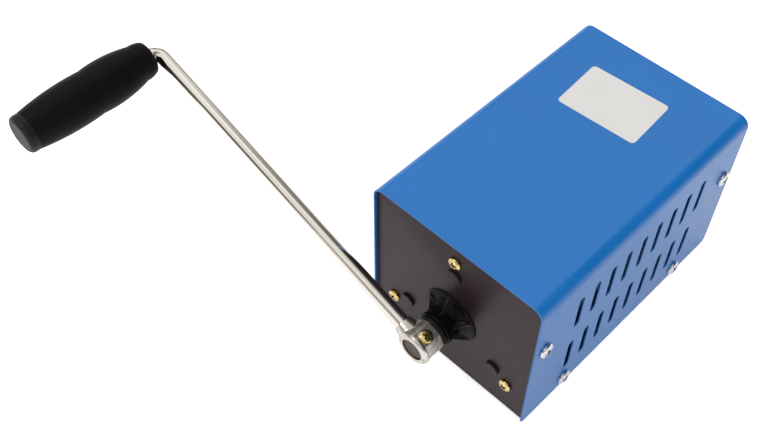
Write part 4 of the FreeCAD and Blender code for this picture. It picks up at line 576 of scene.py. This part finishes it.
rolled_aluminium = turned_metal("rolled_aluminium", (0.72, 0.72, 0.74), roughness=0.34,
                                across=(300.0, 300.0, 9000.0))
turned_brass = turned_metal("turned_brass", (0.74, 0.52, 0.2), roughness=0.3)
zinc_steel = turned_metal("zinc_plated_steel", (0.62, 0.63, 0.66), roughness=0.24)
bright_brass = screw_brass("bright_brass")
# Painted shade: a dark brown material for the faces deep inside the cross recesses.
painted_recess_shade = cast_paint("painted_recess_shade", (0.05, 0.034, 0.016), roughness=0.45, grain=1500.0,
                          depth=0.02 * MM)
paint_node("front_gear_plate", rolled_aluminium)
paint_node("rear_gear_plate", rolled_aluminium)
paint_node("gearbox_pillars", turned_brass)
paint_node("gear_plate_screws", zinc_steel)
for branch in ("top", "left", "right"):
    eased(f"gear_pin_{branch}", f"pin_{branch}", black_coat, PIN_EDGE)
brass_screw = cross_head_screw(head=3.4 * MM, height=2.2 * MM, shank=2.0 * MM, length=6.0 * MM)
brass_places = []
for angle, turn in BRASS_SCREWS:
    spot = (BRASS_SCREW_CIRCLE * math.cos(math.radians(angle)), WALL_FRONT,
            SHAFT_HEIGHT + BRASS_SCREW_CIRCLE * math.sin(math.radians(angle)))
    brass_places.append(facing((0, -1, 0), spot, turn))
fastener_set("brass_screw_set", brass_screw, brass_places, bright_brass, "brass_screws")


# Gears. The crank's large gear turns three cluster gears on the pins, and these turn the rotor's
# pinion. All are cut from steel and greased; key, thrust washer and circlip hold the first one.
def greased_gear(name):
    """Cut steel under a film of grease."""
    finish = Finish(name)
    lines = finish.noise((8000.0, 400.0, 8000.0))
    film = finish.ramp(finish.noise(260.0, detail=4.0, roughness=0.6), low=0.4, high=0.62)
    base = finish.mix(film, (0.5, 0.5, 0.52), (0.26, 0.2, 0.11))
    gloss = finish.ramp(film, low=0.0, high=1.0, to_low=0.34, to_high=0.12)
    normal = finish.bump(lines, 0.008 * MM)
    return finish.surface(Base_Color=base, Metallic=1.0, Roughness=gloss, Normal=normal)


gear_steel = greased_gear("greased_gear_steel")
black_oxide = cast_paint("black_oxide", (0.01, 0.009, 0.01), roughness=0.42, grain=1400.0,
                         depth=0.02 * MM, shine=0.12)
for gear in ("input_gear", "cluster_gear_top", "cluster_gear_left", "cluster_gear_right",
             "rotor_pinion"):
    paint_node(gear, gear_steel)
paint_node("gear_key", plain_steel)
paint_node("shaft_circlip", black_oxide)
paint_node("thrust_washer", bronze)


# Generator. A magnet rotor turns in two ball bearings inside twelve wound stator teeth. The stator
# sits in an aluminium tube that four long bolts clamp between the rear gear plate and a cast bell.
# How far apart a wave texture's bands lie at a scale of 1, in metres
WAVE_LENGTH = 0.314


def laminated_iron(name):
    """Punched sheets stacked along the machine, with varnish on top."""
    finish = Finish(name)
    sheets = finish.node("TexWave", {"wave_type": "BANDS", "bands_direction": "Y"},
                         {"Vector": finish.place(), "Scale": 320.0, "Distortion": 0.2}, "Fac")
    varnish = finish.noise(150.0, detail=3.0)
    base = finish.mix(sheets, (0.1, 0.1, 0.11), (0.24, 0.24, 0.26))
    base = finish.mix(varnish * 0.5, base, (0.12, 0.06, 0.02))
    normal = finish.bump(sheets, 0.04 * MM)
    return finish.surface(Base_Color=base, Metallic=0.8, Roughness=0.42 + varnish * 0.1,
                          Normal=normal)


def copper_wire(name, direction, pitch):
    """Enamelled copper wire laid side by side."""
    finish = Finish(name)
    wires = finish.node("TexWave", {"wave_type": "BANDS", "bands_direction": direction},
                        {"Vector": finish.place(), "Scale": WAVE_LENGTH / pitch,
                         "Distortion": 0.6, "Detail": 1.0, "Detail Scale": 80.0}, "Fac")
    cloud = finish.noise(200.0)
    base = finish.mix(wires, (0.2, 0.06, 0.02), (0.62, 0.25, 0.08))
    base = finish.mix(cloud * 0.3, base, (0.3, 0.12, 0.03))
    normal = finish.bump(wires, 0.25 * MM)
    return finish.surface(Base_Color=base, Metallic=0.85, Roughness=0.26 + cloud * 0.1,
                          Normal=normal)


cast_aluminium = turned_metal("cast_aluminium", (0.6, 0.61, 0.63), roughness=0.42,
                              across=(2200.0, 2200.0, 2200.0), depth=0.04 * MM)
turned_aluminium = turned_metal("turned_aluminium", (0.68, 0.69, 0.71), roughness=0.3)
ferrite = cast_paint("ferrite", (0.035, 0.035, 0.038), roughness=0.5, grain=900.0,
                     depth=0.03 * MM)
paint_node("generator_housing", turned_aluminium)
paint_node("end_bell", cast_aluminium)
paint_node("tie_bolts", zinc_steel)
paint_node("stator_core", laminated_iron("laminated_iron"))
paint_node("stator_winding", copper_wire("copper_coil", "Y", pitch=0.8 * MM))
for steel_piece in ("rotor_bearings", "rotor_shaft", "rotor_core"):
    paint_node(steel_piece, plain_steel)
paint_node("rotor_magnet", ferrite)


# Electronics. Rectifier, smoothing capacitors and choke sit on one board on brass pillars over the
# chassis floor; the rectifier's heat goes into a black finned heat sink.
def board_lacquer(name):
    """Green solder resist over copper tracks that run front to rear and across."""
    finish = Finish(name)
    tracks = finish.node("TexBrick", {}, {"Vector": finish.place(), "Scale": 60.0,
                                          "Mortar Size": 0.018, "Brick Width": 0.7,
                                          "Row Height": 0.21}, "Fac")
    cloud = finish.noise(60.0)
    base = finish.mix(tracks, (0.012, 0.1, 0.035), (0.03, 0.2, 0.07))
    base = finish.mix(cloud * 0.3, base, (0.01, 0.07, 0.03))
    normal = finish.bump(tracks, 0.05 * MM)
    return finish.surface(Base_Color=base, Roughness=0.3 + cloud * 0.1, Normal=normal)


def moulded(name, colour, roughness, grain=2200.0, depth=0.02 * MM, shine=0.5):
    """Moulded plastic with a fine spark-eroded grain."""
    finish = Finish(name)
    pits = finish.noise(grain, detail=3.0, roughness=0.6)
    cloud = finish.noise(45.0)
    base = finish.mix(cloud, toned(colour, 0.85), toned(colour, 1.2))
    gloss = finish.spread(pits, roughness - 0.06, roughness + 0.08)
    return finish.surface(Base_Color=base, Roughness=gloss, Normal=finish.bump(pits, depth),
                          Specular_IOR_Level=shine)


capacitor_sleeve = moulded("capacitor_sleeve", (0.012, 0.014, 0.03), roughness=0.3)
black_plastic = moulded("black_plastic", (0.012, 0.0115, 0.012), roughness=0.45, shine=0.2)
anodised = turned_metal("black_anodised", (0.045, 0.045, 0.05), roughness=0.4,
                        across=(9000.0, 9000.0, 300.0))
paint_node("circuit_board", board_lacquer("board_lacquer"))
paint_node("board_pillars", turned_brass)
paint_node("board_screws", zinc_steel)
paint_node("capacitors", capacitor_sleeve)
paint_node("rectifier", black_plastic)
paint_node("heat_sink", anodised)
paint_node("choke", copper_wire("choke_wire", "DIAGONAL", pitch=1.2 * MM))


# Rear wall. The voltmeter is clipped into its cut-out, the voltage knob sits on a potentiometer
# behind the wall, and nuts hold two 4 mm sockets, red and black.
FRAME_EDGE = 0.25 * MM
KNOB_EDGE = 0.3 * MM
SOCKET_EDGE = 0.2 * MM


def tinted_lens(name):
    """Dark red window of a display that is switched off."""
    finish = Finish(name)
    dust = finish.noise(900.0)
    base = finish.mix(dust, (0.02, 0.001, 0.001), (0.035, 0.002, 0.002))
    gloss = finish.ramp(dust, low=0.4, high=0.8, to_low=0.06, to_high=0.14)
    return finish.surface(Base_Color=base, Roughness=gloss)


red_plastic = moulded("red_plastic", (0.5, 0.012, 0.01), roughness=0.28)
glossy_black = moulded("glossy_black_plastic", (0.012, 0.012, 0.012), roughness=0.25)
eased("voltmeter_bezel", "display_frame", black_plastic, FRAME_EDGE)
paint_node("voltmeter_lens", tinted_lens("tinted_lens"))
paint_node("voltmeter_body", black_plastic)
for plated_piece in ("potentiometer", "potentiometer_nut", "socket_nuts"):
    paint_node(plated_piece, zinc_steel)
paint_node("knob_shaft", turned_aluminium)
eased("voltage_knob", "knob_moulding", black_plastic, KNOB_EDGE, steps=3)
eased("output_socket_red", "socket_red", red_plastic, SOCKET_EDGE)
eased("output_socket_black", "socket_black", glossy_black, SOCKET_EDGE)


# Cover. One blue powder coated sheet folded down over both sides, with two rows of punched slots on
# each side. It reaches a little past the end walls, so its cut edges stand proud of them.
COVER_EDGE = 0.38 * MM
blue_coat = powder_coat("blue_powder_coat", (0.006, 0.145, 0.47))
eased("cover", "cover_sheet", blue_coat, COVER_EDGE, steps=3)


# Sticker. A blank white label with rounded corners, stuck on the top of the cover a little askew.
# It is glossy film over paper, an eighth of a millimetre thick.
STICKER_WIDE = 43.9 * MM
STICKER_LONG = 32.0 * MM
STICKER_CORNER = 2.2 * MM
STICKER_THICK = 0.12 * MM
STICKER_PLACE = (-3.7 * MM, 40.3 * MM)
STICKER_TURN = 3.3


def sticker_film(name):
    """White film with faint waves from the paper under it."""
    finish = Finish(name)
    waves = finish.noise(120.0)
    fibres = finish.noise(3000.0)
    base = finish.mix(waves, (0.63, 0.63, 0.635), (0.68, 0.675, 0.675))
    normal = finish.bump(fibres, 0.006 * MM, under=finish.bump(waves, 0.1 * MM))
    return finish.surface(Base_Color=base, Roughness=0.26 + fibres * 0.12, Normal=normal)


def rounded_outline(wide, long, corner, steps=8):
    """Points round a rectangle with round corners."""
    points = []
    for index, (side_x, side_y) in enumerate(((1, 1), (-1, 1), (-1, -1), (1, -1))):
        centre = Vector((side_x * (wide / 2 - corner), side_y * (long / 2 - corner)))
        for step in range(steps + 1):
            angle = math.pi / 2 * (index + step / steps)
            points.append(centre + corner * Vector((math.cos(angle), math.sin(angle))))
    return points


sticker_mesh = bmesh.new()
outline = rounded_outline(STICKER_WIDE, STICKER_LONG, STICKER_CORNER)
sheet = sticker_mesh.faces.new([sticker_mesh.verts.new((x, y, 0)) for x, y in outline])
raised = bmesh.ops.extrude_face_region(sticker_mesh, geom=[sheet])
raised_points = [part for part in raised["geom"] if isinstance(part, bmesh.types.BMVert)]
bmesh.ops.translate(sticker_mesh, verts=raised_points, vec=(0, 0, STICKER_THICK))
bmesh.ops.recalc_face_normals(sticker_mesh, faces=sticker_mesh.faces)
seat = Matrix.Translation((*STICKER_PLACE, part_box("cover")[1].z))
sticker_mesh.transform(seat @ Matrix.Rotation(math.radians(STICKER_TURN), 4, "Z"))
sticker = linked("blank_sticker", sticker_mesh)
sticker.data.materials.append(sticker_film("sticker_film").material)
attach(sticker, "case")


# Cover screws. Four bright pan head screws hold the cover on each side; their nuts sit behind the
# chassis flanges.
HALF_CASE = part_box("cover")[1].x
# Each pair's place along the case and height, in millimetres, and the crosses' turns, in degrees
COVER_SCREWS = ((-70.7, 61.5, 12, 50), (68.9, 61.5, 81, 33), (-47.3, 8.5, 67, 5),
                (45.0, 8.5, 28, 74))


def bright_zinc(name):
    """Bright zinc plate, a little cloudy."""
    finish = Finish(name)
    cloud = finish.noise(600.0, detail=3.0)
    lines = finish.noise((6000.0, 6000.0, 1500.0))
    base = finish.mix(cloud, (0.78, 0.79, 0.8), (0.62, 0.63, 0.66))
    gloss = finish.spread(lines, 0.12, 0.24)
    return finish.surface(Base_Color=base, Metallic=1.0, Roughness=gloss,
                          Normal=finish.bump(lines, 0.006 * MM))


bright_plate = bright_zinc("bright_zinc_plate")
cover_screw = cross_head_screw(head=4.1 * MM, height=2.4 * MM, shank=2.0 * MM, length=6.0 * MM)
cover_places = []
for along, height, right_turn, left_turn in COVER_SCREWS:
    for side, turn in ((1, right_turn), (-1, left_turn)):
        spot = (side * HALF_CASE, along * MM, height * MM)
        cover_places.append(facing((side, 0, 0), spot, turn))
fastener_set("cover_screw_set", cover_screw, cover_places, bright_plate, "cover_screws")
paint_node("flange_nuts", zinc_steel)


# Crank. A nickelled casting is clamped on the shaft's end by a brass screw; the chromed rod sits in
# its collar and runs out to the grip. A black ring seals the gap to the hub.
ARM_ANGLE = math.radians(20)
SEAL_EDGE = 0.2 * MM
BOSS_EDGE = 0.5 * MM
ROD_EDGE = 0.15 * MM
ROD_SWELL = 0.35 * MM
ROD_SWELL_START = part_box("grip")[1].y + 1 * MM
CLAMP_WAY = Vector((math.sin(ARM_ANGLE), 0, math.cos(ARM_ANGLE)))
CLAMP_REACH = 8.3 * MM
CLAMP_DEPTH = 6.1 * MM
CLAMP_TURN = 30


def rough_nickel(name):
    """Nickel plate over a rough casting."""
    finish = Finish(name)
    lumps = finish.noise(230.0, detail=3.0, roughness=0.55)
    pits = finish.ramp(finish.noise(1100.0), low=0.6, high=0.74)
    hollows = finish.ramp(lumps, low=0.35, high=0.65)
    base = finish.mix(hollows, (0.5, 0.455, 0.41), (0.74, 0.71, 0.67))
    base = finish.mix(pits * 0.3, base, (0.16, 0.13, 0.1))
    gloss = (lumps - 0.5) * 0.2 + 0.3 + pits * 0.15
    normal = finish.bump(pits, -0.03 * MM, strength=0.7, under=finish.bump(lumps, 0.2 * MM))
    return finish.surface(Base_Color=base, Metallic=1.0, Roughness=gloss, Normal=normal)


def chromed_rod(name):
    """Chrome plate on drawn steel: long draw lines and painted reflection bands along the rod, and
    small marks.
    """
    finish = Finish(name)
    turned = finish.node("VectorRotate", {"rotation_type": "Y_AXIS"},
                         {"Vector": finish.place(), "Angle": -ARM_ANGLE})
    lines = finish.noise((5.0, 800.0, 800.0), detail=3.0, roughness=0.55, start=turned)
    marks = finish.ramp(finish.noise(1800.0), low=0.68, high=0.76)
    painted_reflection_bands = finish.ramp(lines, low=0.35, high=0.65)
    # Painted reflections: the colour runs light and dark in bands along the rod.
    base = finish.mix(painted_reflection_bands, (0.7, 0.66, 0.61), (0.96, 0.94, 0.91))
    gloss = finish.spread(lines, 0.05, 0.12) + marks * 0.12
    return finish.surface(Base_Color=base, Metallic=1.0, Roughness=gloss,
                          Normal=finish.bump(lines, 0.12 * MM))


eased("seal_ring", "seal_moulding", black_plastic, SEAL_EDGE)
eased("crank_boss", "boss_casting", rough_nickel("rough_nickel"), BOSS_EDGE, steps=3)
rod_bar = eased("crank_rod", "rod_bar", chromed_rod("chromed_rod"), ROD_EDGE, sharp=50)
for point in rod_bar.data.vertices:
    if point.co.y > ROD_SWELL_START:
        point.co += point.normal * ROD_SWELL
paint_node("crank_shaft", turned_metal("dark_shaft_steel", (0.09, 0.07, 0.063), roughness=0.4))
paint_node("grip_washer", plain_steel)
clamp_screw = cross_head_screw(head=3.4 * MM, height=2.3 * MM, shank=2.0 * MM, length=2.2 * MM)
clamp_spot = Vector((0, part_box("crank_boss")[0].y + CLAMP_DEPTH, SHAFT_HEIGHT))
clamp_spot += CLAMP_WAY * CLAMP_REACH
clamp_places = [facing(CLAMP_WAY, clamp_spot, CLAMP_TURN)]
fastener_set("clamp_screw_set", clamp_screw, clamp_places, bright_brass, "clamp_screw")


# Grip. A matt black moulded grip turns on the rod's bent end. A push-on washer in its pocket keeps
# it there, and a cap with a round edge closes the outer end.
GRIP_EDGE = 0.4 * MM
CAP_EDGE = 0.25 * MM
grip_rubber = moulded("grip_rubber", (0.0065, 0.005, 0.0055), roughness=0.46, grain=1600.0,
                      depth=0.03 * MM, shine=0.08)
eased("grip", "grip_moulding", grip_rubber, GRIP_EDGE, steps=3)
eased("grip_cap", "grip_end_cap", black_plastic, CAP_EDGE, steps=3)
